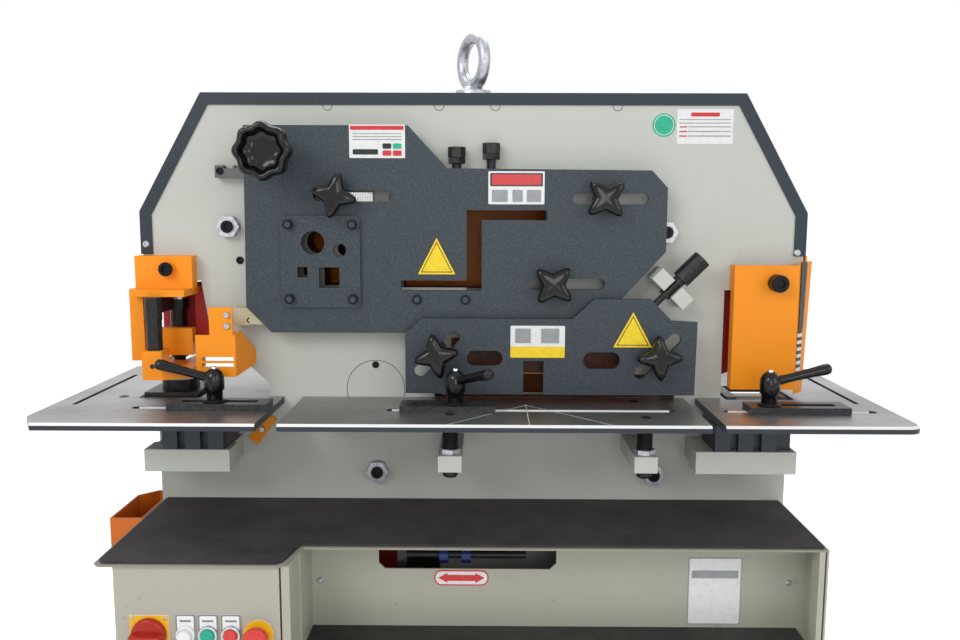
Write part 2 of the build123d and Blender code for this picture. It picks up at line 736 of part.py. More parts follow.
def pinion_profile():
    """The pinion's outline, turned so that a gap meets the rack tooth below its centre."""
    points = []
    for index in range(pinion_teeth):
        middle = -90 + (index + 0.5) * 360 / pinion_teeth
        for turn, radius in ((-0.36, -1.25), (-0.13, 0.9), (0.13, 0.9), (0.36, -1.25)):
            angle = math.radians(middle + turn * 360 / pinion_teeth)
            reach = pitch_radius + radius * gear_module
            points.append((wheel_x + reach * math.cos(angle), wheel_height + reach * math.sin(angle)))
    return points


with BuildPart() as rack:
    add_front_slab(rack_profile(), 0, rack_depth)
save(rack, "rack")

wheel_lobes = 8
pinion_gap = 2.0
wheel_depth = 34.0
wheel_front = upper_guide_front - wheel_stand_off
with BuildPart() as hand_wheel:
    with BuildSketch(front_plane(wheel_front + wheel_depth)) as rim:
        with Locations((wheel_x, wheel_height)):
            RegularPolygon(wheel_rim_radius, 16)
            with PolarLocations(wheel_lobe_reach - 11, wheel_lobes):
                RegularPolygon(11, 8)
    extrude(rim.sketch, amount=wheel_depth)
    add_prism(wheel_x, wheel_height, wheel_front, 26, 5, 16, Mode.SUBTRACT)
    add_prism(wheel_x, wheel_height, wheel_front + wheel_depth, 20, 24, 16)
    hub_back = wheel_front + wheel_depth + 24
    add_disc(wheel_x, wheel_height, hub_back, wheel_shaft_radius, -pinion_gap - hub_back)
    add_front_slab(pinion_profile(), -pinion_gap, rack_depth)
save(hand_wheel, "hand_wheel")

# Tables: ground plates with a slot for the fence bolt; the end tables wrap round the frame
table_front = -210.0
table_back = 300.0
slot_half_width = 9.0
stop_grooves = {"left": (-703.0, -75.0, 200.0), "right": (690.0, -45.0, 195.0)}
stop_groove_width = 9.0
table_bevel = 4.0
left_corner_cut = (48.0, 28.0)
slot_depths = {"left": -96.0, "centre": -106.0, "right": -106.0}


def add_table_slot(x_span, y):
    """Cut a round-ended slot for a fence bolt through a table."""
    with BuildSketch(Plane.XY.offset(table_underside)) as slot:
        with Locations(((x_span[0] + x_span[1]) / 2, y)):
            draw_slot(x_span[1] - x_span[0], slot_half_width * 2)
    extrude(slot.sketch, amount=table_thickness, mode=Mode.SUBTRACT)


def add_stop_groove(side):
    """Cut the narrow slot for a length stop, near the outer edge of an end table."""
    x, start, end = stop_grooves[side]
    with BuildSketch(Plane.XY.offset(table_underside)) as groove:
        with Locations((x, (start + end) / 2)):
            draw_slot(end - start, stop_groove_width, rotation=90)
    extrude(groove.sketch, amount=table_thickness, mode=Mode.SUBTRACT)


def bevel_front_edge(table):
    """Bevel the upper front edge of a table."""
    top_edges = table.edges().group_by(Axis.Z)[-1]
    chamfer(top_edges.filter_by(Axis.X).sort_by(Axis.Y)[0], table_bevel)


with BuildPart() as centre_table:
    add_box((-312, 389), (table_front, 0), (table_underside, table_height))
    bevel_front_edge(centre_table)
    add_table_slot((-147, 352), slot_depths["centre"])
save(centre_table, "centre_table")

with BuildPart() as left_table:
    add_box((-740, -348), (table_front, 0), (table_underside, table_height))
    add_box((-740, punch_throat_foot - 0.5), (0, table_back), (table_underside, table_height))
    corner = left_table.edges().filter_by(Axis.Z).group_by(Axis.Y)[0].sort_by(Axis.X)[0]
    chamfer(corner, left_corner_cut[0], left_corner_cut[1])
    bevel_front_edge(left_table)
    add_table_slot((-591, -370), slot_depths["left"])
    add_stop_groove("left")
    add_box((-612, -500), (-12, rear_back + 12), (table_underside, table_height), Mode.SUBTRACT)
save(left_table, "left_table")

right_table_corner = 26.0
right_table_edge = 730.0
with BuildPart() as right_table:
    add_box((411, right_table_edge), (table_front, 0), (table_underside, table_height))
    wing_span = (notch_throat_inner + 0.5, right_table_edge)
    add_box(wing_span, (0, table_back), (table_underside, table_height))
    corner_edges = right_table.edges().filter_by(Axis.Z).sort_by(Axis.Y)
    fillet(corner_edges.sort_by(Axis.X)[-2:].sort_by(Axis.Y)[0], right_table_corner)
    bevel_front_edge(right_table)
    add_table_slot((435, 697), slot_depths["right"])
    add_stop_groove("right")
    die_space = (notch_throat_inner + 8, 590)
    add_box(die_space, (-12, rear_back + 12), (table_underside, table_height), Mode.SUBTRACT)
save(right_table, "right_table")

# Beige brackets and bars welded to the front plate, below the tables
bracket_spans = [(-55.5, -15.5), (276.0, 315.0)]
bracket_low = 863.0
bracket_high = 891.0
bracket_front = -150.0
support_bars = [(-568.0, -420.0), (389.0, 562.0)]
support_low = 850.0
support_high = 889.0
support_front = -110.0
support_back = -60.0
with BuildPart() as table_supports:
    for x0, x1 in bracket_spans:
        add_box((x0, x1), (bracket_front, 0), (bracket_low, bracket_high))
        middle = (x0 + x1) / 2
        bracket_span = (bracket_low, bracket_high)
        add_upright_prism(middle, bracket_front + 20, bracket_span, 11.1, 12, Mode.SUBTRACT)
    for x0, x1 in support_bars:
        add_box((x0, x1), (support_front, support_back), (support_low, support_high))
        for arm_x in (x0 + 6, x1 - 34):
            add_box((arm_x, arm_x + 28), (support_back, 0), (support_low, support_high))
save(table_supports, "table_supports")

with BuildPart() as levelling_screws:
    for x0, x1 in bracket_spans:
        middle = (x0 + x1) / 2
        add_upright_prism(middle, bracket_front + 20, (bracket_low - 10, table_underside), 11, 12)
        add_upright_prism(middle, bracket_front + 20, (bracket_low - 23, bracket_low - 10), 17, 6)
        add_upright_prism(middle, bracket_front + 20, (bracket_high, bracket_high + 12), 18, 6)
save(levelling_screws, "levelling_screws")

# Ribbed cast blocks between the bars and the end tables
rib_width = 26.0
rib_gap = 14.0
bolster_inset = 32.0
rib_relief = 12.0
with BuildPart() as table_bolsters:
    for bar_start, bar_end in support_bars:
        x0 = bar_start + bolster_inset
        x1 = bar_end - 8
        add_box((x0, x1), (support_front + 12, support_back + 40), (support_high, table_underside))
        ribs = int((x1 - x0 + rib_gap) // (rib_width + rib_gap))
        for index in range(ribs):
            rib_x = x0 + index * (rib_width + rib_gap)
            rib_depth = (support_front, support_front + 12)
            add_box((rib_x, rib_x + rib_width), rib_depth, (support_high, table_underside))
        relief_span = (table_underside - rib_relief, table_underside)
        add_box((x0, x1), (support_front, -80), relief_span, Mode.SUBTRACT)
save(table_bolsters, "table_bolsters")

# Fence bars with their tee bolts, and the clamping levers that lock them
bar_height = 12.0
bar_half_depth = 25.0
fence_places = {
    "left": (-523.0, -351.0, -446.0, 184.0),
    "centre": (-122.0, 41.0, -27.5, -52.0),
    "right": (474.0, 644.0, 512.0, -8.0),
}
bolt_radius = 8.0
bolt_top = 1000.0
hub_low_radius = 15.5
hub_height = 55.0
hub_taper = 3.6
lever_reach = 96.0
lever_rise = 16.0
lever_root = 1011.0
for side, (bar_left, bar_right, hub_x, turn) in fence_places.items():
    slot_y = slot_depths[side]
    bar_top = table_height + bar_height
    with BuildPart() as fence:
        bar_depth = (slot_y - bar_half_depth, slot_y + bar_half_depth)
        add_box((bar_left, bar_right), bar_depth, (table_height, bar_top))
        with BuildSketch(Plane.XY.offset(table_height)) as fence_slot:
            with Locations(((bar_left + bar_right) / 2, slot_y)):
                Rectangle(bar_right - bar_left - 40, bolt_radius * 2 + 1)
        extrude(fence_slot.sketch, amount=bar_height, mode=Mode.SUBTRACT)
        add_post(hub_x, slot_y, (table_underside - 10.3, bolt_top), bolt_radius)
        tee_span = (table_underside - 10.3, table_underside - 0.3)
        add_box((hub_x - 15, hub_x + 15), (slot_y - 12, slot_y + 12), tee_span)
        add_upright_prism(hub_x, slot_y, (bar_top, bar_top + 3), 17, 12)
    save(fence, f"{side}_fence")

    with BuildPart() as lever:
        hub_foot = bar_top + 3
        with BuildSketch(Plane((hub_x, slot_y, hub_foot))) as hub:
            RegularPolygon(hub_low_radius, 16)
        extrude(hub.sketch, amount=hub_height, taper=hub_taper)
        heading = math.radians(turn)
        climb = math.radians(lever_rise)
        level = math.cos(climb)
        along = Vector(math.cos(heading) * level, math.sin(heading) * level, math.sin(climb))
        lever_start = Vector(hub_x, slot_y, lever_root)
        with BuildSketch(Plane(origin=lever_start, z_dir=along)) as arm:
            RegularPolygon(7, 10)
        extrude(arm.sketch, amount=lever_reach)
        with BuildSketch(Plane(origin=lever_start + along * lever_reach, z_dir=along)) as tip:
            RegularPolygon(8.5, 10)
        extrude(tip.sketch, amount=7, taper=15)
        bore_span = (hub_foot, bolt_top + 1)
        add_upright_prism(hub_x, slot_y, bore_span, bolt_radius + turning_gap, 12, Mode.SUBTRACT)
        add_upright_prism(hub_x, slot_y, (hub_foot + hub_height, hub_foot + hub_height + 4), 7, 12)
    save(lever, f"{side}_clamp_lever")

# Punch station on the left: clamped tool block, column and jaw, stripper foot on a post, die and holder
block_front = -27.0
with BuildPart() as punch_block:
    add_box((-603, -501), (block_front, 0), (1162, 1220))
    add_box((-599, -505), (-60, beam_front), (1150, 1162))
    add_prism(-544, 1197, block_front - 9, 14, 9, 16)
    add_box((-610, -586), (-40, 0), (1033, 1162))
    add_box((-586, -507), (-20, 0), (1040, 1089))
save(punch_block, "punch_block")

post_x = -558.0
post_depth = -66.0
with BuildPart() as punch_post:
    add_upright_prism(post_x, post_depth, (1057, 1110), 13.5, 16)
    add_upright_prism(post_x, post_depth, (1110, 1150), 14.5, 16)
    add_box((post_x - 12, post_x + 12), (post_depth, 0), (1122, 1150))
save(punch_post, "punch_post")

foot_front = -84.0
with BuildPart() as stripper_foot:
    foot_points = [
        (-575, foot_front),
        (-540, foot_front),
        (-495, -60),
        (-495, -24),
        (-512, 30),
        (-600, 30),
        (-600, -24),
    ]
    with BuildSketch(Plane.XY.offset(1006)) as foot_plan:
        with BuildLine():
            Polyline(*foot_points, close=True)
        make_face()
        with Locations((ram_x, ram_depth)):
            RegularPolygon(46, 24)
        with Locations((ram_x, ram_depth + 20)):
            Rectangle(40, 100, mode=Mode.SUBTRACT)
    extrude(foot_plan.sketch, amount=18)
    add_box((-575, -540), (foot_front, foot_front + 36), (1024, 1057))
save(stripper_foot, "stripper_foot")

die_top = 986.0
with BuildPart() as punch_die:
    add_box((ram_x - 48, ram_x + 48), (-8, rear_back + 8), (table_underside, 968))
    add_upright_prism(ram_x, ram_depth, (968, die_top), 34, 24)
    add_upright_prism(ram_x, ram_depth, (table_underside, die_top), 12, 16, Mode.SUBTRACT)
save(punch_die, "punch_die")

# Sheet guards: one beside the punch, with a wing that tapers back to the frame, one over the notching tool
guard_front = -70.0
guard_left = -485.0
guard_right = -415.0
guard_span = (1010.0, 1084.0)
guard_tab = ((-460.0, -419.0), 1133.0)
clip_centre = (-389.0, 899.0)
with BuildPart() as punch_guard:
    add_box((guard_left, guard_right), (guard_front, guard_front + sheet), guard_span)
    add_box(guard_tab[0], (guard_front, guard_front + sheet), (guard_span[1], guard_tab[1]))
    for window_low in (1027, 1038):
        window_x = (-475, guard_right - 4)
        window_z = (window_low, window_low + 7)
        add_box(window_x, (guard_front, guard_front + sheet), window_z, Mode.SUBTRACT)
    # The wing is a flat sheet between the guard's right edge and the front plate
    wing_run = Vector(17, -guard_front - 1, 0)
    wing_normal = (wing_run.Y, -wing_run.X, 0)
    wing_plane = Plane(origin=(guard_right, guard_front, 0), x_dir=wing_run, z_dir=wing_normal)
    wing_length = wing_run.length
    with BuildSketch(wing_plane) as wing:
        with BuildLine():
            Polyline(
                (0, guard_span[0]),
                (wing_length, 1022),
                (wing_length, 1048),
                (wing_length * 0.25, guard_span[1] + 6),
                (0, guard_span[1]),
                close=True,
            )
        make_face()
    extrude(wing.sketch, amount=-sheet)
    # A stay behind the sheet carries the guard from the front plate
    add_box((-445, -425), (guard_front + sheet, 0), (1062, 1080))
    with BuildSketch(front_plane(0)) as clip:
        with Locations(clip_centre):
            Rectangle(60, 22, rotation=53)
    extrude(clip.sketch, amount=4)
save(punch_guard, "punch_guard")

notch_guard_front = -31.0
notch_guard_left = 466.0
notch_guard_right = 580.0
notch_guard_span = (983.0, 1207.0)
notch_side_x = 600.0
end_guard_top = 1222.0
end_guard_low = 975.0
rear_guard = ((-365.0, 385.0), (rear_back, rear_back + 90), (table_height + 20, 1345.0))
cut_off_tray = ((-75.0, 380.0), (rear_back, rear_back + 170), (870.0, 945.0))
with BuildPart() as notch_guard:
    guard_low, guard_high = notch_guard_span
    face_depth = (notch_guard_front, notch_guard_front + sheet)
    add_box((notch_guard_left, notch_guard_right), face_depth, notch_guard_span)
    left_sheet = (notch_guard_left, notch_guard_left + sheet)
    right_sheet = (notch_guard_right - sheet, notch_guard_right)
    add_box(left_sheet, (notch_guard_front, 0), (notch_throat_top, guard_high))
    add_box(left_sheet, (notch_guard_front, -8), (guard_low, notch_throat_top))
    add_box(right_sheet, (notch_guard_front, 0), (notch_throat_top, guard_high))
    add_prism(540, 1176, notch_guard_front + sheet, 15, -notch_guard_front - sheet, 12)
    add_prism(540, 1176, notch_guard_front - 20, 15, 20, 12)
    # Outer guard sheet beyond the frame's end, folded in at the front
    add_box((notch_side_x, notch_side_x + sheet), (-2, rear_back + 20), (end_guard_low, end_guard_top))
    add_box((notch_side_x - 3, notch_side_x), (20, 80), (1170, 1216))
    # Rear guard over the windows, a cut-off tray below it, and the plate that shuts the hold-down window
    rear_x, rear_y, rear_z = rear_guard
    add_box(rear_x, (rear_y[1] - sheet, rear_y[1]), rear_z)
    add_box((rear_x[0], rear_x[0] + sheet), rear_y, rear_z)
    add_box((rear_x[1] - sheet, rear_x[1]), rear_y, rear_z)
    add_box(rear_x, rear_y, (rear_z[1] - sheet, rear_z[1]))
    tray_x, tray_y, tray_z = cut_off_tray
    add_box(tray_x, tray_y, (tray_z[0], tray_z[0] + sheet))
    add_box(tray_x, (tray_y[1] - sheet, tray_y[1]), tray_z)
    add_box((tray_x[0], tray_x[0] + sheet), tray_y, tray_z)
    add_box((tray_x[1] - sheet, tray_x[1]), tray_y, tray_z)
    add_box(hold_down_window[0], (sheet, sheet * 2), hold_down_window[1])
save(notch_guard, "notch_guard")

# Tray: folded sheet over the control box and the recess, with its rubber mats
box_corner = -282.0
step_corner = -268.0
tray_front = cabinet_front
tray_box_front = -305.0
tray_chamfer = 9.0
with BuildPart() as tray:
    with BuildSketch(Plane.XY.offset(tray_height - sheet)) as tray_plan:
        with BuildLine():
            Polyline(
                (-base_half_width, base_back),
                (-base_half_width, tray_box_front + tray_chamfer),
                (-base_half_width + tray_chamfer, tray_box_front),
                (box_corner - tray_chamfer, tray_box_front),
                (box_corner, tray_box_front + tray_chamfer),
                (step_corner, tray_front),
                (base_half_width, tray_front),
                (base_half_width, base_back),
                close=True,
            )
        make_face()
        with Locations((0, (rear_back) / 2)):
            Rectangle(lower_half_width * 2 + 0.4, rear_back + 0.4, mode=Mode.SUBTRACT)
    extrude(tray_plan.sketch, amount=sheet)
save(tray, "tray")

# Rubber mats on the tray and on the shelf of the recess
mat_margin = 10.0
recess_left = -274.0
recess_right = 563.0
with BuildPart() as rubber_mats:
    with BuildSketch(Plane.XY.offset(tray_height)) as mat_plan:
        with BuildLine():
            Polyline(
                (-base_half_width + mat_margin, -0.5),
                (-base_half_width + mat_margin, tray_box_front + mat_margin),
                (box_corner - mat_margin, tray_box_front + mat_margin),
                (step_corner - mat_margin, tray_front + mat_margin),
                (base_half_width - mat_margin, tray_front + mat_margin),
                (base_half_width - mat_margin, -0.5),
                close=True,
            )
        make_face()
    extrude(mat_plan.sketch, amount=mat_thickness)
    mat_y = (cabinet_front + 3, recess_back - 1)
    add_box((recess_left + 1, recess_right - 1), mat_y, (shelf_height, shelf_height + mat_thickness))
save(rubber_mats, "rubber_mats")

# Base cabinet: folded and welded sheet round two box pedestals that carry the frame plates
plinth_height = 100.0
floor_sheet = 5.0
pedestal_wall = 8.0
pedestal_span = (440.0, 574.0)
anchor_places = [(-500, -160), (500, -160), (-500, 380), (500, 380)]
anchor_radius = 9.0
channel_wall = 8.0
slot_window = ((-158.0, 147.0), (690.0, 735.0), 18.0)
cabinet_top = tray_height - sheet
floor_top = plinth_height + floor_sheet
with BuildPart() as base_cabinet:
    inner = base_half_width - sheet
    add_box((-base_half_width, base_half_width), (cabinet_front + 3, base_back), (plinth_height, floor_top))
    for side in (-1, 1):
        wall = sorted((side * inner, side * base_half_width))
        add_box(wall, (cabinet_front, base_back), (plinth_height, cabinet_top))
    add_box((-inner, inner), (base_back - sheet, base_back), (plinth_height, cabinet_top))
    add_box((-inner, inner), (cabinet_front, cabinet_front + sheet), (plinth_height, shelf_height))
    add_box((-inner, box_right), (cabinet_front, cabinet_front + sheet), (shelf_height, cabinet_top))
    recess_depth = (cabinet_front, recess_back + sheet)
    add_box((recess_left, inner), recess_depth, (shelf_height - sheet, shelf_height))
    add_box((recess_left, inner), (recess_back, recess_back + sheet), (shelf_height, cabinet_top))
    add_box((box_right, recess_left), recess_depth, (shelf_height - sheet, cabinet_top))
    add_box((box_right - 13, box_right), (box_front, cabinet_front), (plinth_height, cabinet_top))
    post_depth_span = (cabinet_front, cabinet_front + 30)
    add_box((recess_right, recess_right + 9), post_depth_span, (shelf_height, cabinet_top))
    (x0, x1), (z0, z1), window_radius = slot_window
    with BuildSketch(front_plane(recess_back)) as window:
        with Locations(((x0 + x1) / 2, (z0 + z1) / 2)):
            Rectangle(x1 - x0, z1 - z0)
        chamfer(window.vertices(), window_radius * 0.6)
    extrude(window.sketch, amount=-sheet, mode=Mode.SUBTRACT)
    # Slots where the frame plates stand through the side walls
    for side in (-1, 1):
        wall = sorted((side * (inner - 1), side * (base_half_width + 1)))
        add_box(wall, (-0.2, rear_back + 0.2), (plate_bottom, cabinet_top), Mode.SUBTRACT)
    # Pedestals under the plates, and the saddle and end plate of the cylinder
    for side in (-1, 1):
        outer_x = sorted((side * pedestal_span[0], side * pedestal_span[1]))
        inner_x = (outer_x[0] + pedestal_wall, outer_x[1] - pedestal_wall)
        add_box(outer_x, (-10, rear_back + 10), (floor_top, plate_bottom))
        inner_y = (-10 + pedestal_wall, rear_back + 10 - pedestal_wall)
        add_box(inner_x, inner_y, (floor_top, plate_bottom - 12), Mode.SUBTRACT)
    cradle_depth = (drive_depth - 40, drive_depth + 40)
    add_box((240, 320), cradle_depth, (floor_top, trunnion_height - cylinder_radius))
    end_y = (drive_depth - 70, drive_depth + 70)
    add_box((cylinder_span[1], cylinder_span[1] + 15), end_y, (floor_top, trunnion_height + 70))
    # Plinth of three channels, the middle one under the frame plates, with anchor holes in the outer two
    for y0, y1 in ((cabinet_front + 20, -110), (-50, 150), (330, base_back)):
        channel_span = (-base_half_width + 10, base_half_width - 10)
        add_box(channel_span, (y0, y1), (0, channel_wall))
        add_box(channel_span, (y0, y0 + channel_wall), (0, plinth_height))
        add_box(channel_span, (y1 - channel_wall, y1), (0, plinth_height))
    for anchor_x, anchor_y in anchor_places:
        add_post(anchor_x, anchor_y, (0, channel_wall), anchor_radius, Mode.SUBTRACT)
save(base_cabinet, "base_cabinet")

# Control box with its operating elements on the front
box_left = -548.0
box_inner_right = -292.0
box_low = 430.0
control_height = 650.0
isolator_x = -494.5
lamp_x = -438.0
start_x = -403.0
stop_x = -367.5
emergency_x = -325.5
button_radius = 11.0
bezel_radius = 14.5
isolator_half = 30.5
emergency_stem_radius = 8.0
plate_sheet = 2.0
button_proud = 10.0
with BuildPart() as control_box:
    box_x = (box_left, box_inner_right)
    add_box(box_x, (box_front, cabinet_front), (box_low, cabinet_top))
    hollow_x = (box_left + sheet, box_inner_right - sheet)
    hollow_z = (box_low + sheet, cabinet_top - sheet)
    add_box(hollow_x, (box_front + sheet, cabinet_front), hollow_z, Mode.SUBTRACT)
    for hole_x in (isolator_x, start_x, stop_x, emergency_x):
        add_prism(hole_x, control_height, box_front, button_radius + turning_gap, sheet, 12, Mode.SUBTRACT)
save(control_box, "control_box")

plate_front = box_front - plate_sheet
with BuildPart() as control_plates:
    isolator_span = (isolator_x - isolator_half, isolator_x + isolator_half)
    isolator_z = (control_height - isolator_half, control_height + isolator_half)
    add_box(isolator_span, (plate_front, box_front), isolator_z)
    add_prism(isolator_x, control_height, plate_front, 6.5, plate_sheet, 12, Mode.SUBTRACT)
    for plate_x in (lamp_x, start_x, stop_x):
        legend_span = (control_height - 18, control_height + 32)
        add_box((plate_x - 15, plate_x + 15), (plate_front, box_front), legend_span)
    add_prism(lamp_x, control_height, plate_front - 5, bezel_radius, 5, 16)
    add_prism(lamp_x, control_height, plate_front - 12, 10, 7, 16)
    for hole_x in (start_x, stop_x):
        add_prism(hole_x, control_height, plate_front - 6, bezel_radius, 6, 16)
        hole_radius = button_radius + turning_gap
        add_prism(hole_x, control_height, plate_front - 6, hole_radius, 6 + plate_sheet, 16, Mode.SUBTRACT)
    add_prism(emergency_x, control_height, plate_front - 1, 23.5, plate_sheet + 1, 24)
    stem_bore = emergency_stem_radius + turning_gap
    add_prism(emergency_x, control_height, plate_front - 1, stem_bore, plate_sheet + 1, 16, Mode.SUBTRACT)
save(control_plates, "control_plates")

for button_name, button_x in (("start_button", start_x), ("stop_button", stop_x)):
    with BuildPart() as push_button:
        button_depth = button_proud + plate_sheet + 10
        add_prism(button_x, control_height, plate_front - button_proud, button_radius, button_depth, 16)
    save(push_button, button_name)

with BuildPart() as emergency_button:
    stem_length = 8 + plate_sheet + 12
    add_prism(emergency_x, control_height, plate_front - 8, emergency_stem_radius, stem_length, 12)
    add_prism(emergency_x, control_height, plate_front - 18, 15, 10, 20)
    add_prism(emergency_x, control_height, plate_front - 25, 20, 7, 20)
save(emergency_button, "emergency_button")

with BuildPart() as isolator_knob:
    add_prism(isolator_x, control_height, plate_front - 10, 27, 10, 24)
    add_disc(isolator_x, control_height, plate_front, 6, plate_sheet + 12)
    grip_span = (control_height - 7, control_height + 7)
    add_box((isolator_x - 25, isolator_x + 25), (plate_front - 26, plate_front - 10), grip_span)
save(isolator_knob, "isolator_knob")

# Sheet bin that catches the slugs, hung on the left end of the frame
bin_left = -640.0
bin_front = -97.0
bin_back = 57.0
bin_low = 600.0
bin_rim = 760.0
with BuildPart() as slug_bin:
    with BuildSketch(Plane.XY.offset(bin_low)) as bin_plan:
        with BuildLine():
            Polyline(
                (-lower_half_width, bin_front),
                (bin_left, bin_front),
                (bin_left, bin_back - 30),
                (bin_left + 30, bin_back),
                (-lower_half_width, bin_back),
                close=True,
            )
        make_face()
    extrude(bin_plan.sketch, amount=bin_rim - bin_low)
    offset(amount=-sheet, openings=slug_bin.faces().sort_by(Axis.Z)[-1])
save(slug_bin, "slug_bin")

# Power pack on the cabinet floor behind the cylinder
tank_span = ((60, 430), (190, 410), (floor_top, 400))
motor_radius = 80.0
motor_height = tank_span[2][1] + 12 + motor_radius
with BuildPart() as power_pack:
    add_box(*tank_span)
    with BuildSketch(Plane.YZ.offset(90)) as motor:
        with Locations((300, motor_height)):
            RegularPolygon(motor_radius, 16)
    extrude(motor.sketch, amount=230)
    add_box((320, 400), (260, 340), (tank_span[2][1], motor_height + 45))
    add_box((120, 270), (250, 350), (tank_span[2][1], motor_height - 40))
save(power_pack, "power_pack")
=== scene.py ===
# %% [markdown]
# # An ironworker machine, dressed for a product picture
#
# The real machine is two thick steel plates with a rocking beam between them, standing on a sheet-metal base.
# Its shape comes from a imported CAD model, which is loaded first and never moved. This file gives every part
# its finish, adds the small things that a drawing leaves out, and sets the floor, the light and the camera.

# %% Load the frame
import math

import bmesh
import bpy
from mathutils import Matrix, Vector


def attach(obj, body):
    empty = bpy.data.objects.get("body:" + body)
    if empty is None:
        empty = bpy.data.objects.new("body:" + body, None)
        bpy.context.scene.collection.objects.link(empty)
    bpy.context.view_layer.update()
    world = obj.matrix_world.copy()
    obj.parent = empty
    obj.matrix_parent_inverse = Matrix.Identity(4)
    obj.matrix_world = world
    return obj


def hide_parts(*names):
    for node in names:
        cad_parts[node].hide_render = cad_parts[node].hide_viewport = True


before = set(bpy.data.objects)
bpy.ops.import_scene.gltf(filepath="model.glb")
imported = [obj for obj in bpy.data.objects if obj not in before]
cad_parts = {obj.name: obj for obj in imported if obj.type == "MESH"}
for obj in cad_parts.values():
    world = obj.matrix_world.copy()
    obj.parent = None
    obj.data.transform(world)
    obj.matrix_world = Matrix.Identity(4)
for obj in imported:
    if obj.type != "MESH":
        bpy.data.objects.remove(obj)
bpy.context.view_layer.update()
scene = bpy.context.scene
MM = 0.001


def add_object(name, data):
    """A new object at the origin, linked to the scene."""
    made = bpy.data.objects.new(name, data)
    scene.collection.objects.link(made)
    return made


# %% [markdown]
# ## Camera, floor and light
#
# A photograph like this is taken from a little above table height with a moderate lens, so the uprights lean
# together slightly towards the floor. The camera's place was worked out from corners whose real size is known:
# the hood, the tables and the tray. It looks down seven degrees.

# %% Camera
camera_place = Vector((24.7, -1557.8, 1303.6)) * MM
camera_pitch = math.radians(7.314)
camera_roll = math.radians(0.17)
camera_yaw = math.radians(-0.403)
focal_pixels = 860.0
picture_width = 960.0
sensor_width = 36.0
far_clip = 60.0

camera_data = bpy.data.cameras.new("camera")
camera_data.sensor_width = sensor_width
camera_data.lens = focal_pixels / picture_width * sensor_width
camera_data.clip_end = far_clip
camera = add_object("camera", camera_data)
level_ahead = Vector((math.sin(camera_yaw), math.cos(camera_yaw), 0.0))
looking = level_ahead * math.cos(camera_pitch) + Vector((0.0, 0.0, -math.sin(camera_pitch)))
level_right = Vector((math.cos(camera_yaw), -math.sin(camera_yaw), 0.0))
level_up = level_right.cross(looking)
right = math.cos(camera_roll) * level_right + math.sin(camera_roll) * level_up
up = -math.sin(camera_roll) * level_right + math.cos(camera_roll) * level_up
axes = Matrix((right, up, -looking)).transposed().to_4x4()
camera.matrix_world = Matrix.Translation(camera_place) @ axes
bpy.context.scene.camera = camera
print("lens", round(camera_data.lens, 2), "mm")

# %% [markdown]
# White light from everywhere would wash the paint out, so the white behind the machine is painted on: rays
# straight from the camera, and the ones that glossy steel throws back, see a white backdrop, while the light
# that reaches the paint stays at a plain level.

# %% Backdrop and floor
paint_light = 0.62
floor_reach = 14.0
floor_tone = 0.93
floor_glow = 0.42
WHITE = (1.0, 1.0, 1.0, 1.0)


def set_inputs(node, **values):
    """Write values on a node's sockets, by name with spaces as underscores."""
    for key, value in values.items():
        node.inputs[key.replace("_", " ")].default_value = value
    return node


def add_either(tree):
    """One for rays from the camera, off a glossy surface or through glass, and nought for others."""
    light_path = tree.nodes.new("ShaderNodeLightPath")
    total = light_path.outputs["Is Camera Ray"]
    for title in ("Is Glossy Ray", "Is Transmission Ray"):
        pick = tree.nodes.new("ShaderNodeMath")
        pick.operation = "MAXIMUM"
        tree.links.new(total, pick.inputs[0])
        tree.links.new(light_path.outputs[title], pick.inputs[1])
        total = pick.outputs[0]
    return total


world = bpy.data.worlds.new("studio")
scene.world = world
world.use_nodes = True
tree = world.node_tree
tree.nodes.clear()
choose = tree.nodes.new("ShaderNodeMixShader")
tree.links.new(add_either(tree), choose.inputs["Fac"])
for socket, strength in ((1, paint_light), (2, 1.0)):
    glow = set_inputs(tree.nodes.new("ShaderNodeBackground"), Color=WHITE, Strength=strength)
    tree.links.new(glow.outputs[0], choose.inputs[socket])
tree.links.new(choose.outputs[0], tree.nodes.new("ShaderNodeOutputWorld").inputs["Surface"])

floor_mesh = bpy.data.meshes.new("floor")
floor_corners = [(x * floor_reach, y * floor_reach, 0) for x, y in ((-1, -1), (1, -1), (1, 1), (-1, 1))]
floor_mesh.from_pydata(floor_corners, [], [(0, 1, 2, 3)])
floor = add_object("floor", floor_mesh)
floor_paint = bpy.data.materials.new("pale_floor")
floor_paint.use_nodes = True
floor_tree = floor_paint.node_tree
floor_shader = floor_tree.nodes["Principled BSDF"]
set_inputs(floor_shader, Base_Color=(floor_tone,) * 3 + (1.0,), Roughness=0.9, Emission_Color=WHITE)
glow = floor_tree.nodes.new("ShaderNodeMath")
glow.operation = "MULTIPLY"
glow.inputs[1].default_value = floor_glow
floor_tree.links.new(add_either(floor_tree), glow.inputs[0])
floor_tree.links.new(glow.outputs[0], floor_shader.inputs["Emission Strength"])
floor_mesh.materials.append(floor_paint)
print("floor", floor_reach * 2, "m across")

# %% [markdown]
# Four soft lamps: a large one high on the left, a fill on the right, a weak one beside the camera, which looks
# into the slots, and one from above and behind, which lights the tables' bevelled edges, where the table
# material also paints a highlight.

# %% Lamps
def add_lamp(name, place, target, size, power):
    """Hang a soft rectangular lamp that points at the machine."""
    light = bpy.data.lights.new(name, "AREA")
    light.shape = "RECTANGLE"
    light.size = size[0]
    light.size_y = size[1]
    light.energy = power
    lamp = add_object(name, light)
    lamp.location = place
    lamp.rotation_euler = (Vector(target) - Vector(place)).to_track_quat("-Z", "Y").to_euler()
    return lamp


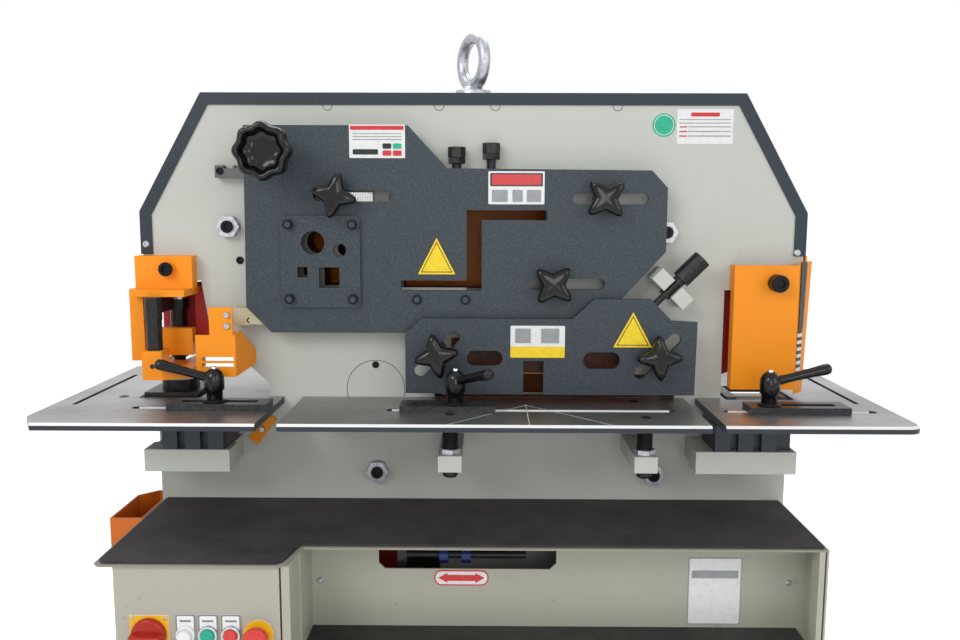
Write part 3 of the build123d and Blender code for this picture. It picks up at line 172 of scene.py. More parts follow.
lamps = [
    add_lamp("key_lamp", (-1.9, -2.6, 2.9), (0.0, 0.0, 1.1), (1.8, 1.4), 47.0),
    add_lamp("fill_lamp", (2.4, -2.4, 2.1), (0.0, 0.0, 1.0), (1.8, 1.8), 20.0),
    add_lamp("front_lamp", (0.3, -3.0, 1.5), (0.0, 0.0, 1.1), (0.9, 0.9), 9.0),
    add_lamp("top_lamp", (0.0, 0.9, 3.2), (0.0, -0.1, 1.0), (2.4, 1.2), 34.0),
]
print("lamps", len(lamps))

# %% [markdown]
# ## Finishes
#
# Paint sprayed over cast and flame-cut steel has the faint dimples called orange peel, small changes of tone,
# and a little dust where hands never wipe. Each finish below is a node tree on Object coordinates, so it sits
# still on its part and needs no picture file.

# %% Helpers for node trees
class Finish:
    """One material, with the few steps that every finish below is built from."""

    def __init__(self, name, colour, roughness, metallic=0.0, specular=0.35):
        self.material = bpy.data.materials.new(name)
        self.material.use_nodes = True
        self.nodes = self.material.node_tree.nodes
        self.links = self.material.node_tree.links
        self.shader = self.nodes["Principled BSDF"]
        set_inputs(self.shader, Base_Color=(*colour, 1.0), Roughness=roughness, Metallic=metallic)
        self.shader.inputs["Specular IOR Level"].default_value = specular
        self.place = self.node("TexCoord").outputs["Object"]

    def node(self, kind, **values):
        """A new shader node with its inputs set."""
        return set_inputs(self.nodes.new("ShaderNode" + kind), **values)

    def noise(self, scale, detail, rough, stretch=(1, 1, 1)):
        """A noise on Object coordinates, stretched along the axes if asked."""
        mapping = self.node("Mapping", Scale=stretch)
        self.links.new(self.place, mapping.inputs["Vector"])
        noise = self.node("TexNoise", Scale=scale, Detail=detail, Roughness=rough)
        self.links.new(mapping.outputs["Vector"], noise.inputs["Vector"])
        return noise.outputs["Fac"]

    def ramp(self, factor, low, high, low_at=0.3, high_at=0.7):
        """Turn a grey value into a run between two colours."""
        ramp = self.node("ValToRGB")
        for element, position, colour in zip(ramp.color_ramp.elements, (low_at, high_at), (low, high)):
            element.position = position
            element.color = (*colour, 1.0)
        self.links.new(factor, ramp.inputs["Fac"])
        return ramp.outputs["Color"]

    def blend(self, amount, first, second, kind="MULTIPLY"):
        """Mix two colours by an amount, each a value or another node's socket."""
        mix = self.node("Mix")
        mix.data_type = "RGBA"
        mix.blend_type = kind
        for index, given in ((0, amount), (6, first), (7, second)):
            if isinstance(given, (float, tuple)):
                mix.inputs[index].default_value = given
            else:
                self.links.new(given, mix.inputs[index])
        return mix.outputs[2]

    def colour(self, socket):
        """Send a colour to the shader."""
        self.links.new(socket, self.shader.inputs["Base Color"])

    def roughen(self, factor, low, high):
        """Let the roughness follow a 0 to 1 value between two ends."""
        span = self.node("MapRange", To_Min=low, To_Max=high)
        self.links.new(factor, span.inputs["Value"])
        self.links.new(span.outputs["Result"], self.shader.inputs["Roughness"])

    def bump(self, height, distance, strength):
        """Give a height to the shader's normal."""
        bump = self.node("Bump", Strength=strength, Distance=distance)
        self.links.new(height, bump.inputs["Height"])
        self.links.new(bump.outputs["Normal"], self.shader.inputs["Normal"])


def scaled(colour, amount):
    """A colour made lighter or darker."""
    return tuple(min(1.0, c * amount) for c in colour)


print("node helpers ready")

# %% Sprayed paint, and the dark hammered paint
def sprayed_paint(name, colour, roughness, variation, dust=0.25):
    """Machine enamel: orange peel, soft changes of tone, and dust in patches."""
    paint = Finish(name, colour, roughness)
    wide = paint.noise(3.5, 4.0, 0.6)
    tone = paint.ramp(wide, scaled(colour, 1 - variation), scaled(colour, 1 + variation))
    grime = paint.noise(38.0, 6.0, 0.7)
    specks = paint.ramp(grime, scaled(colour, 1 - dust), (1, 1, 1), 0.28, 0.36)
    paint.colour(paint.blend(0.35, tone, specks))
    paint.roughen(wide, roughness - 0.06, roughness + 0.10)
    paint.bump(paint.noise(420.0, 2.0, 0.5), 0.00012, 0.6)
    return paint.material


def hammered_paint(name, colour, fleck, cell):
    """Hammertone: the paint draws itself into small round dimples, and each catches a fleck of light."""
    paint = Finish(name, colour, 0.46)
    cells = paint.node("TexVoronoi", Scale=cell, Randomness=1.0)
    cells.feature = "SMOOTH_F1"
    paint.links.new(paint.place, cells.inputs["Vector"])
    tone = paint.ramp(cells.outputs["Distance"], fleck, colour, 0.05, 0.34)
    wide = paint.noise(4.0, 4.0, 0.6)
    paint.colour(paint.blend(1.0, tone, paint.ramp(wide, (0.86, 0.86, 0.87), (1, 1, 1))))
    paint.roughen(wide, 0.39, 0.54)
    paint.bump(cells.outputs["Distance"], 0.00016, 0.55)
    return paint.material


print("paints ready")

# %% Bare metal and plastic
def ground_steel(name, colour, roughness, along=(1.0, 60.0, 60.0), stain=0.12):
    """Surface-ground steel: fine lines all one way, with darker oily stains across them."""
    steel = Finish(name, colour, roughness, 1.0)
    lines = steel.noise(9.0, 5.0, 0.65, along)
    oil = steel.noise(7.0, 6.0, 0.6)
    tone = steel.ramp(lines, scaled(colour, 0.88), scaled(colour, 1.12), 0.25, 0.75)
    steel.colour(steel.blend(1.0, tone, steel.ramp(oil, (1 - stain,) * 3, (1, 1, 1), 0.32, 0.6)))
    steel.roughen(lines, roughness - 0.06, roughness + 0.12)
    steel.bump(lines, 0.00004, 0.5)
    return steel.material


def speckled(name, colour, other, roughness, metallic=0.0, scale=300.0, bump=0.00008, specular=0.35):
    """A two-tone finish for small things: black oxide, zinc, moulded plastic and ink."""
    finish = Finish(name, colour, roughness, metallic, specular)
    grain = finish.noise(scale, 3.0, 0.6)
    finish.colour(finish.ramp(grain, other, colour, 0.36, 0.60))
    finish.roughen(grain, max(0.04, roughness - 0.08), roughness + 0.08)
    finish.bump(grain, bump, 0.5)
    return finish.material


print("metals and plastics ready")

# %% The machine's own finishes
BEIGE = (0.490, 0.505, 0.462)
LINED = (1.0, 1.0, 40.0)
beige_paint = sprayed_paint("beige_paint", BEIGE, 0.36, 0.035)
base_paint = sprayed_paint("base_paint", (0.390, 0.382, 0.322), 0.42, 0.04)
# The tray gets a darker copy of the base paint: partly dirt, partly painted shade.
tray_shade_and_dirt_paint = sprayed_paint("tray_shade_and_dirt_paint", (0.27, 0.262, 0.215), 0.44, 0.05)
dark_hammer = hammered_paint("dark_hammer_paint", (0.028, 0.039, 0.050), (0.120, 0.150, 0.175), 560.0)
# The hood gets a darker copy of the hammered paint: painted shade on its top.
hood_shaded_hammer = hammered_paint("hood_shaded_hammer_paint", (0.017, 0.026, 0.037), (0.052, 0.071, 0.092), 480.0)
orange_paint = sprayed_paint("orange_paint", (0.87, 0.275, 0.004), 0.38, 0.03, 0.12)
bin_orange = sprayed_paint("bin_orange_paint", (0.58, 0.135, 0.010), 0.40, 0.04, 0.15)
beam_red = sprayed_paint("beam_red_paint", (0.42, 0.024, 0.024), 0.45, 0.16, 0.5)
slate_paint = sprayed_paint("slate_paint", (0.026, 0.034, 0.045), 0.42, 0.10)
bright_steel = ground_steel("bright_steel", (0.62, 0.62, 0.61), 0.26, stain=0.06)
blade_steel = ground_steel("blade_steel", (0.17, 0.165, 0.16), 0.42, LINED, 0.4)
worn_steel = ground_steel("worn_dark_steel", (0.11, 0.11, 0.115), 0.42, LINED, 0.3)
black_oxide = speckled("black_oxide", (0.018, 0.018, 0.020), (0.034, 0.033, 0.034), 0.36, 0.6)
zinc = speckled("bright_zinc", (0.50, 0.52, 0.55), (0.34, 0.36, 0.39), 0.40, 0.95, 160.0)
black_gloss = speckled(
    "black_moulding", (0.003, 0.003, 0.0035), (0.005, 0.005, 0.0055), 0.15, 0.0, 260.0, 0.00001)
signal_white = speckled("white_moulding", (0.78, 0.79, 0.78), (0.70, 0.71, 0.70), 0.35)
signal_green = speckled("green_moulding", (0.012, 0.38, 0.24), (0.010, 0.30, 0.19), 0.3)
signal_red = speckled("red_moulding", (0.66, 0.050, 0.040), (0.55, 0.040, 0.032), 0.28)
switch_red = speckled("switch_red_moulding", (0.42, 0.020, 0.010), (0.35, 0.016, 0.008), 0.26)
signal_yellow = speckled("yellow_moulding", (0.83, 0.46, 0.012), (0.75, 0.41, 0.010), 0.33)
fence_black = speckled("fence_black", (0.030, 0.031, 0.034), (0.052, 0.052, 0.055), 0.38, 0.55, 180.0)
collar_blue = speckled("collar_blue", (0.010, 0.030, 0.105), (0.018, 0.045, 0.15), 0.34, 0.5)
print("finishes", len(bpy.data.materials))

# %% Finish for every node
SIDES = ("left", "centre", "right")
KNOBS = ("upper_left_knob", "upper_right_knob", "centre_knob", "lower_left_knob", "lower_right_knob")
node_finish = {
    beige_paint: ["front_plate", "rear_plate", "table_supports", "pivot_pin"],
    base_paint: ["base_cabinet", "control_box"],
    tray_shade_and_dirt_paint: ["tray"],
    hood_shaded_hammer: ["hood"],
    dark_hammer: ["upper_guide", "bar_hole_plate", "lower_guide", "hydraulic_cylinder", "power_pack"],
    orange_paint: ["punch_block", "stripper_foot", "punch_guard", "notch_guard"],
    bin_orange: ["slug_bin"],
    beam_red: ["beam"],
    slate_paint: ["table_bolsters"],
    bright_steel: ["punch_ram"],
    worn_steel: ["rack"],
    blade_steel: ["fixed_blades", "beam_blades"],
    black_oxide: [
        "plate_spacers", "piston_rod", "punch_die", "guide_studs", "levelling_screws", "punch_post", "punch",
        "lead_screw", "left_hold_down_screw", "right_hold_down_screw",
    ],
    fence_black: [f"{side}_fence" for side in SIDES],
    collar_blue: ["left_stroke_collar", "right_stroke_collar"],
    zinc: ["gib_screws", "eye_bolt"],
    black_gloss: ["hand_wheel", *KNOBS, *(f"{side}_clamp_lever" for side in SIDES)],
    signal_white: ["control_plates"],
    signal_green: ["start_button"],
    signal_red: ["stop_button"],
    switch_red: ["emergency_button", "isolator_knob"],
}
undressed = set(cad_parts)


def dress(node_name, material):
    """Put one finish on every slot of a CAD node."""
    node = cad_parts[node_name]
    if not node.data.materials:
        node.data.materials.append(material)
    for slot in node.material_slots:
        slot.material = material
    undressed.discard(node_name)


for material, names in node_finish.items():
    for node_name in names:
        dress(node_name, material)
print("nodes that get their finish further down:", sorted(undressed))

# %% [markdown]
# ## Small pieces
#
# The CAD model has every moving part, with plain many-sided shapes where the real one is moulded or turned.
# What the eye lingers on, such as knobs, levers, screws and labels, is built here as fine meshes. Each
# mesh has its place in its points, so its object stays at the origin and simply rides on a CAD body.

# %% Helpers that build meshes
FORWARD = (0, -1, 0)
UPWARD = (0, 0, 1)


def settle(name, build, material, body, sharp=40.0):
    """Turn a bmesh drawn in millimetres into a piece that rides on a body."""
    bmesh.ops.remove_doubles(build, verts=build.verts, dist=0.001)
    bmesh.ops.recalc_face_normals(build, faces=build.faces)
    bmesh.ops.scale(build, vec=(MM, MM, MM), verts=build.verts)
    mesh = bpy.data.meshes.new(name)
    build.to_mesh(mesh)
    build.free()
    mesh.materials.append(material)
    mesh.shade_smooth()
    mesh.set_sharp_from_angle(angle=math.radians(sharp))
    piece = add_object(name, mesh)
    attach(piece, body)
    return piece


def join_rings(build, rings, closed=False):
    """Skin a stack of rings, where one point is a tip, and cap its ends or join last to first."""
    following = rings[1:] + rings[:1] if closed else rings[1:]
    for low, high in zip(rings, following):
        count = max(len(low), len(high))
        for i in range(count):
            j = (i + 1) % count
            corners = [low[i % len(low)], low[j % len(low)], high[j % len(high)], high[i % len(high)]]
            face = [v for k, v in enumerate(corners) if v not in corners[:k]]
            build.faces.new(face)
    for ring in () if closed else (rings[0], rings[-1]):
        if len(ring) > 2:
            build.faces.new(ring)


def around(count):
    """Evenly spaced angles, once round."""
    return [2 * math.pi * i / count for i in range(count)]


def lathe(build, place, axis, profile, segments=32, closed=False):
    """Turn (radius, height) pairs about an axis; a closed profile goes round a hole."""
    axis = Vector(axis).normalized()
    side = axis.orthogonal().normalized()
    across = axis.cross(side)
    rings = []
    for radius, height in profile:
        centre = Vector(place) + axis * height
        angles = around(segments) if radius > 0.001 else [0.0]
        spokes = [(side * math.cos(a) + across * math.sin(a)) * radius for a in angles]
        rings.append([build.verts.new(centre + spoke) for spoke in spokes])
    join_rings(build, rings, closed)


def front_loft(build, centre, reach, layers, points=96):
    """Stack a front outline, whose radius is reach(angle), at the (y, scale) pairs in layers."""
    rings = []
    for y, size in layers:
        outline = [(math.cos(a) * reach(a) * size, math.sin(a) * reach(a) * size) for a in around(points)]
        rings.append([build.verts.new((centre[0] + x, y, centre[1] + z)) for x, z in outline])
    join_rings(build, rings)


def slab(build, outline, near, far, level=False):
    """A flat plate: (x, z) points between two depths, or (x, y) points between two heights."""
    rings = [[(a, b, c) if level else (a, c, b) for a, b in outline] for c in (near, far)]
    join_rings(build, [[build.verts.new(point) for point in ring] for ring in rings])


def square(x0, x1, z0, z1):
    """The four corners of a rectangle."""
    return [(x0, z0), (x1, z0), (x1, z1), (x0, z1)]


def rounded(x0, x1, z0, z1, radius, steps=4):
    """A rectangle with rounded corners."""
    points = []
    corners = square(x0 + radius, x1 - radius, z0 + radius, z1 - radius)
    for start, (x, z) in zip((180, 270, 0, 90), corners):
        for i in range(steps + 1):
            a = math.radians(start + 90 * i / steps)
            points.append((x + radius * math.cos(a), z + radius * math.sin(a)))
    return points


def turned(name, places, profile, material, segments, closed=False, body="frame",
           axis=FORWARD, sharp=40.0):
    """A piece that is one turned shape, or the same one at several places."""
    build = bmesh.new()
    for place in places:
        lathe(build, place, axis, profile, segments, closed)
    return settle(name, build, material, body, sharp)


def plate(name, outline, front, back, material, body="frame"):
    """A piece that is one flat plate."""
    build = bmesh.new()
    slab(build, outline, front, back)
    return settle(name, build, material, body)


print("mesh helpers ready")

# %% [markdown]
# Star knobs clamp the two sliding guides. A moulded knob has four arms that narrow towards blunt tips. Its
# outline in front view is a function of the angle, so the mesh is that outline, stacked at several depths and
# drawn in towards the domed face.

# %% Star knobs
arm_root = 19.2
arm_taper = 0.36
arm_tip = 40.0
tip_bluntness = 9.0
knob_layers = [
    (12, 0.72), (14, 0.90), (18, 1.0), (26, 1.0), (30, 0.96),
    (32.5, 0.88), (34, 0.76), (34.8, 0.58), (35.2, 0.34), (35.4, 0.10),
]
knob_hub = [(12.5, 0), (13.5, 1), (13, 8), (15.5, 14), (17, 24)]
knob_places = {
    "upper_left_knob": (-238, 1327, -40.0, -13),
    "upper_right_knob": (231, 1323, -40.0, 42),
    "centre_knob": (143, 1173, -40.0, 48),
    "lower_left_knob": (-62, 1049, -56.0, 12),
    "lower_right_knob": (328, 1047, -56.0, 3),
}


def star_reach(turn):
    """The outline of a four-armed knob as a function of the angle: arms that taper to a blunt tip."""
    def reach(angle):
        off_axis = abs((angle - turn + math.pi / 4) % (math.pi / 2) - math.pi / 4)
        side = arm_root / (math.sin(off_axis) + arm_taper * math.cos(off_axis))
        return (side ** -tip_bluntness + arm_tip ** -tip_bluntness) ** (-1 / tip_bluntness)
    return reach


for knob_name, (knob_x, knob_z, seat, turn) in knob_places.items():
    build = bmesh.new()
    layers = [(seat - rise, size) for rise, size in knob_layers]
    front_loft(build, (knob_x, knob_z), star_reach(math.radians(turn)), layers)
    lathe(build, (knob_x, seat - 0.2, knob_z), FORWARD, knob_hub)
    piece_name = knob_name.replace("_knob", "_star_knob")
    knob = settle(piece_name, build, black_gloss, knob_name, 62.0)
    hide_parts(knob_name)
print("star knobs", len(knob_places))

# %% [markdown]
# The hand wheel moves the upper guide along its rack. It is the same idea with eight shallow lobes, a dished
# face and a steel shaft, and behind it a small pinion whose teeth mesh with the rack.

# %% Hand wheel
wheel_x = -344.0
wheel_z = 1398.0
wheel_radius = 46.5
lobe_height = 2.6
lobe_count = 8
rim_layers = [
    (-106, 0.72), (-106.5, 0.90), (-110, 0.985), (-118, 1.0), (-130, 1.0), (-136, 0.97), (-139, 0.92),
    (-140, 0.86), (-139.4, 0.80), (-137, 0.76), (-128, 0.70), (-122, 0.62), (-120, 0.40),
]
pinion_teeth = 16
pinion_module = 2.5
tooth_corners = ((-0.36, -1.25), (-0.13, 0.9), (0.13, 0.9), (0.36, -1.25))


def lobes(angle):
    """The outline of the hand wheel as a function of the angle."""
    return wheel_radius + lobe_height * math.cos(lobe_count * angle)


build = bmesh.new()
front_loft(build, (wheel_x, wheel_z), lobes, rim_layers, 144)
lathe(build, (wheel_x, -84, wheel_z), FORWARD, [(17, 0), (19, 1.5), (19, 20), (27, 26)])
wheel = settle("lobed_hand_wheel", build, black_gloss, "hand_wheel", 50.0)
build = bmesh.new()
lathe(build, (wheel_x, -2, wheel_z), FORWARD, [(9.8, 0), (9.8, 83)])
profile = []
for tooth in range(pinion_teeth):
    middle = -90 + (tooth + 0.5) * 360 / pinion_teeth
    for turn, reach in tooth_corners:
        angle = math.radians(middle + turn * 360 / pinion_teeth)
        radius = pinion_module * (pinion_teeth / 2 + reach)
        profile.append((wheel_x + radius * math.cos(angle), wheel_z + radius * math.sin(angle)))
slab(build, profile, -22, -2)
shaft = settle("wheel_shaft_and_pinion", build, bright_steel, "hand_wheel")
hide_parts("hand_wheel")
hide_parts("hand_wheel")
print("hand wheel", round(2 * lobes(0), 1), "mm across")

# %% [markdown]
# Clamping levers lock the fences. Each is one casting, a tapered hub and a rising arm with a rounded tip, with
# a bright screw in the top of the hub. Under the hub lies a washer, which stays with the fence.

# %% Clamp levers and fence washers
lever_places = {
    "left": (-446.0, -96.0, 184.0),
    "centre": (-27.5, -106.0, -52.0),
    "right": (512.0, -106.0, -8.0),
}
hub_foot = 975.0
lever_root = 1011.0
lever_rise = math.radians(16.0)
lever_hub = [(13.5, 0), (14, 16), (16.8, 18), (17.2, 30), (16.5, 42), (13.5, 49), (9, 53), (6.8, 54.6), (0, 54.6)]
lever_arm = [
    (9.5, 0), (8.4, 14), (7.5, 26), (7.4, 44), (8.3, 72),
    (9.3, 88), (9.6, 94), (8.5, 99.5), (5.0, 102.6), (0, 103),
]
washer = [(10, 0.1), (19.5, 0.1), (20, 0.8), (20, 2.4), (19, 3.2), (10, 3.2)]
screw_profile = [(4.5, 0), (4.5, 7.6), (3.9, 8.4), (2.2, 8.6), (2.2, 6.8), (0, 6.7)]
for side, (hub_x, hub_y, heading) in lever_places.items():
    body = f"{side}_clamp_lever"
    build = bmesh.new()
    lathe(build, (hub_x, hub_y, hub_foot), UPWARD, lever_hub, 40)
    heading = math.radians(heading)
    level = Vector((math.cos(heading), math.sin(heading), 0)) * math.cos(lever_rise)
    along = level + Vector((0, 0, math.sin(lever_rise)))
    lathe(build, (hub_x, hub_y, lever_root), along, lever_arm, 28)
    lever = settle(f"{side}_lever_casting", build, black_gloss, body, 55.0)
    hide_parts(f"{side}_clamp_lever")
    places = [(hub_x, hub_y, hub_foot + 50)]
    screw = turned(
        f"{side}_lever_screw", places, screw_profile, bright_steel, 24, False, body, UPWARD)
    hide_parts(f"{side}_clamp_lever")
    places, body = [(hub_x, hub_y, hub_foot - 3)], f"{side}_fence"
    turned(f"{side}_fence_washer", places, washer, black_oxide, 40, True, body, UPWARD)
print("clamp levers", len(lever_places))

# %% [markdown]
# The lifting eye is drop forged: a ring of round wire that swells into the shank, on a turned collar.

# %% Lifting eye
eye_y = 50.3
eye_foot = 1508.0
eye_height = 1569.2
eye_turn = math.radians(61.0)
eye_radius = 42.0
wire_radius = 10.6
foot_swelling = 1.4
ring_points = 64
wire_points = 28
across = Vector((math.cos(eye_turn), -math.sin(eye_turn), 0))
through = across.cross(Vector(UPWARD))
build = bmesh.new()
ring_rows = []
for angle in around(ring_points):
    out = across * math.cos(angle) + Vector(UPWARD) * math.sin(angle)
    wire = wire_radius + foot_swelling * max(0.0, -math.sin(angle)) ** 3
    centre = Vector((0, eye_y, eye_height)) + out * eye_radius
    spokes = [out * wire * math.cos(turn) + through * wire * math.sin(turn) for turn in around(wire_points)]
    ring_rows.append([build.verts.new(centre + spoke) for spoke in spokes])
join_rings(build, ring_rows, True)
collar = [(32.3, 0), (32.3, 8), (31, 10.4), (26, 11.6), (19, 14), (15.5, 18.5), (14, 24)]
lathe(build, (0, eye_y, eye_foot), UPWARD, collar, 48)
eye = settle("forged_lifting_eye", build, zinc, "frame", 60.0)
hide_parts("eye_bolt")
print("lifting eye", ring_points * wire_points, "faces in its ring")

# %% [markdown]
# ## Screws
#
# Nearly every screw on the machine is one of three kinds: a hexagon, a round cap with a hexagon socket, and a
# flat one let into a table. They differ only in their sizes, so one node tree draws them all. It takes bare
# points, grows a head on each, and hands back a plain mesh.

# %% The screw tree
screws = bpy.data.node_groups.new("screw_heads", "GeometryNodeTree")
for direction in ("INPUT", "OUTPUT"):
    screws.interface.new_socket(name="Geometry", in_out=direction, socket_type="NodeSocketGeometry")
SIZES = ("Head Radius", "Head Depth", "Socket Radius", "Socket Depth", "Edge")
kinds = {**dict.fromkeys(SIZES, "Float"), "Sides": "Int", "Facing": "Rotation", "Finish": "Material"}
for title, kind in kinds.items():
    screws.interface.new_socket(name=title, in_out="INPUT", socket_type="NodeSocket" + kind)
upward_limit = 0.9
socket_draft = 0.92
turn_seed = 3


def grown(kind, **inputs):
    """A new node of the screw tree, its inputs given as values or as other nodes' sockets."""
    node = screws.nodes.new(kind)
    for key, given in inputs.items():
        socket = node.inputs[key.replace("_", " ")]
        if isinstance(given, bpy.types.NodeSocket):
            screws.links.new(given, socket)
        else:
            socket.default_value = given
    return node


def reckon(operation, first, second):
    """One sum of the screw tree."""
    node = screws.nodes.new("ShaderNodeMath")
    node.operation = operation
    for socket, value in zip(node.inputs, (first, second)):
        if isinstance(value, float):
            socket.default_value = value
        else:
            screws.links.new(value, socket)
    return node.outputs[0]


def upward_faces():
    """A selection of the faces that look along the screw."""
    normal = grown("GeometryNodeInputNormal")
    split = grown("ShaderNodeSeparateXYZ", Vector=normal.outputs[0])
    return grown("FunctionNodeCompare", A=split.outputs["Z"], B=upward_limit).outputs[0]


def grow(geometry, selection, offset, ratio):
    """Extrude the selected faces by a length, then scale the new top by a ratio."""
    push = grown("GeometryNodeExtrudeMesh", Mesh=geometry, Selection=selection, Offset_Scale=offset)
    size = grown(
        "GeometryNodeScaleElements", Geometry=push.outputs["Mesh"], Selection=push.outputs["Top"], Scale=ratio)
    return size.outputs["Geometry"], push.outputs["Top"]


given = screws.nodes.new("NodeGroupInput").outputs
radius, edge = given["Head Radius"], given["Edge"]
body_depth = reckon("SUBTRACT", given["Head Depth"], edge)
inner_radius = reckon("SUBTRACT", radius, edge)
shank = grown("GeometryNodeMeshCylinder", Vertices=given["Sides"], Radius=radius, Depth=body_depth)
lift = grown("ShaderNodeCombineXYZ", Z=reckon("DIVIDE", body_depth, 2.0))
rest = grown("GeometryNodeTransform", Geometry=shank.outputs["Mesh"], Translation=lift.outputs[0])
headed = grow(rest.outputs["Geometry"], upward_faces(), edge, reckon("DIVIDE", inner_radius, radius))[0]
rimmed, rim_top = grow(headed, upward_faces(), 0.0, reckon("DIVIDE", given["Socket Radius"], inner_radius))
sunk = grow(rimmed, rim_top, reckon("MULTIPLY", given["Socket Depth"], -1.0), socket_draft)[0]
flat = grown("GeometryNodeSetShadeSmooth", Geometry=sunk, Shade_Smooth=False)
turn_each = grown("FunctionNodeRandomValue", Max=math.pi / 3, Seed=turn_seed)
spin = grown("ShaderNodeCombineXYZ", Z=turn_each.outputs["Value"])
own_turn = grown("FunctionNodeEulerToRotation", Euler=spin.outputs[0])
both = grown("FunctionNodeRotateRotation", Rotation=given["Facing"], Rotate_By=own_turn.outputs[0])
both.rotation_space = "LOCAL"
spread = grown(
    "GeometryNodeInstanceOnPoints",
    Points=given["Geometry"], Instance=flat.outputs["Geometry"], Rotation=both.outputs[0])
realize = grown("GeometryNodeRealizeInstances", Geometry=spread.outputs["Instances"])
paint = grown("GeometryNodeSetMaterial", Geometry=realize.outputs[0], Material=given["Finish"])
screws.links.new(paint.outputs["Geometry"], screws.nodes.new("NodeGroupOutput").inputs[0])
print("screw tree nodes", len(screws.nodes))

# %% Set screws where they belong
FRONT = (math.pi / 2, 0.0, 0.0)
UP = (0.0, 0.0, 0.0)
black_screw = speckled(
    "blackened_screw", (0.004, 0.004, 0.0045), (0.010, 0.010, 0.011), 0.34, 0.1, specular=0.2)


def set_screws(name, places, head, socket, edge=0.8, plated=False, body="frame", facing=FRONT, sides=32):
    """Grow screw heads on points in millimetres; head and socket are (radius, depth) pairs."""
    points = bpy.data.meshes.new(name + "_points")
    points.from_pydata([tuple(Vector(p) * MM) for p in places], [], [])
    carrier = add_object(name + "_points", points)
    grower = carrier.modifiers.new("screws", "NODES")
    grower.node_group = screws
    values = {"Sides": sides, "Facing": facing, "Finish": zinc if plated else black_screw}
    for title, size in zip(SIZES, (*head, *socket, edge)):
        values[title] = size * MM
    for item in screws.interface.items_tree:
        if item.in_out == "INPUT" and item.name in values:
            grower[item.identifier] = values[item.name]
    evaluated = carrier.evaluated_get(bpy.context.evaluated_depsgraph_get())
    mesh = bpy.data.meshes.new_from_object(evaluated)
    mesh.name = name
    bpy.data.objects.remove(carrier)
    piece = add_object(name, mesh)
    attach(piece, body)
    return piece


plate_heads = [(x, -46, z) for x in (-322, -210) for z in (1146, 1277)]
guide_heads = [(-98, -40, 1145), (-12, -40, 1145)]
guard_heads = [(-428, -70, 1119.8), (-428, -70, 1100.5), (-389.7, -4, 898.5)]
table_heads = [
    (x, y, 960) for x, y in ((-36, -135.4), (292.2, -152.1), (292.2, -31.4), (-641.8, -7.8), (-603.9, -11))]
gib_places = [(-439, 1272), (347, 1264), (-176, 820), (336, 816)]
gib_heads = [(x, -14, z) for x, z in gib_places]
set_screws("plate_cap_screws", plate_heads, (8.4, 10), (5.2, 6), body="upper_guide")
set_screws("guide_cap_screws", guide_heads, (8.4, 5.5), (5.2, 4), body="upper_guide")
set_screws("frame_screws", [(-421.8, 0.1, 1211.1)], (7.0, 2.2), (3.8, 2.0))
set_screws("gib_block_screw", [(-399.0, -27.4, 1105.0)], (6.4, 2.3), (3.4, 2.0))
set_screws("rack_set_screw", [(-447, -20, 1370)], (6.5, 3), (3.4, 2.6))
set_screws("guard_hex_screws", guard_heads, (6.0, 5), (2.4, 0.6), plated=True, sides=6)
set_screws("hood_screws", [(-590, -3, 1240), (584.2, -3, 1228)], (6.2, 3), (2.6, 1.6), 1.4, True)
set_screws("tool_block_screw", [(-544, -36, 1197)], (12.5, 5), (7.0, 4.6))
set_screws("notch_guard_screw", [(540, -31, 1176)], (15.4, 25), (7.5, 3.6), 1.2)
set_screws("recess_screws", [(-259, -144, 668), (547, -144, 668)], (5.0, 3), (2.2, 1.4), 1.2, True)
set_screws("table_screws", table_heads, (8.5, 0.7), (4.6, 0.6), 0.3, facing=UP)
set_screws("pin_screw", [(-178, 0, 1020)], (6.5, 1.0), (3.2, 0.9), 0.3)
set_screws("gib_socket_screws", gib_heads, (11.2, 4.5), (6.0, 4.0))
gib_washer = [(12.5, 0.1), (19.8, 0.1), (19.8, 2.2), (19.0, 3.0), (12.5, 3.0)]
turned("gib_washers", [(x, -0.1, z) for x, z in gib_places], gib_washer, zinc, 40, True)
print("screws are in")

# %% [markdown]
# Nuts lock the two hold-down screws and the two screws that level the middle table. Each is a hexagon with a
# hole, turned on the same lathe with only six sides.

# %% Lock nuts and levelling screws
leveller_x = (-35.5, 295.5)
leveller_y = -130
bracket_foot = 863
bracket_head = 891
nut_sides = 6
lock_nut = [(8.1, 0), (14.8, 0), (15.6, 1), (15.6, 9.6), (14.8, 10.6), (8.1, 10.6)]
level_nut = [(10.2, 0), (17.6, 0), (18.4, 1), (18.4, 9), (17.6, 10), (10.2, 10)]
leveller_foot = [(13, 0), (13, 9), (11, 12), (7, 13.6), (0, 14.2)]
thread = [(13.6 - 0.8 * (ridge % 2), 10 + 1.5 * ridge) for ridge in range(32)]
for side, x, foot in (("left", -28.0, 1384.0), ("right", 33.0, 1391.2)):
    places, body = [(x, -14, foot)], f"{side}_hold_down_screw"
    turned(f"{side}_lock_nut", places, lock_nut, black_oxide, nut_sides, True, body, UPWARD, 30.0)
build = bmesh.new()
for x in leveller_x:
    lathe(build, (x, leveller_y, bracket_head), UPWARD, [(10, 0), (10, 10), *thread, (10, 57)])
    lathe(build, (x, leveller_y, bracket_foot), (0, 0, -1), leveller_foot)
levellers = settle("table_levellers", build, black_oxide, "frame", 30.0)
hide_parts("levelling_screws")
places = [(x, leveller_y, bracket_head) for x in leveller_x]
level_nuts = turned("table_leveller_nuts", places, level_nut, zinc, nut_sides, True, "frame", UPWARD, 30.0)
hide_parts("levelling_screws")
print("nuts and levelling screws are on")

# %% [markdown]
# ## Labels and small marks
#
# Only a label's size, place and fields of colour are made here, each field as a thin plate a fraction of a
# millimetre in front of the one below it.

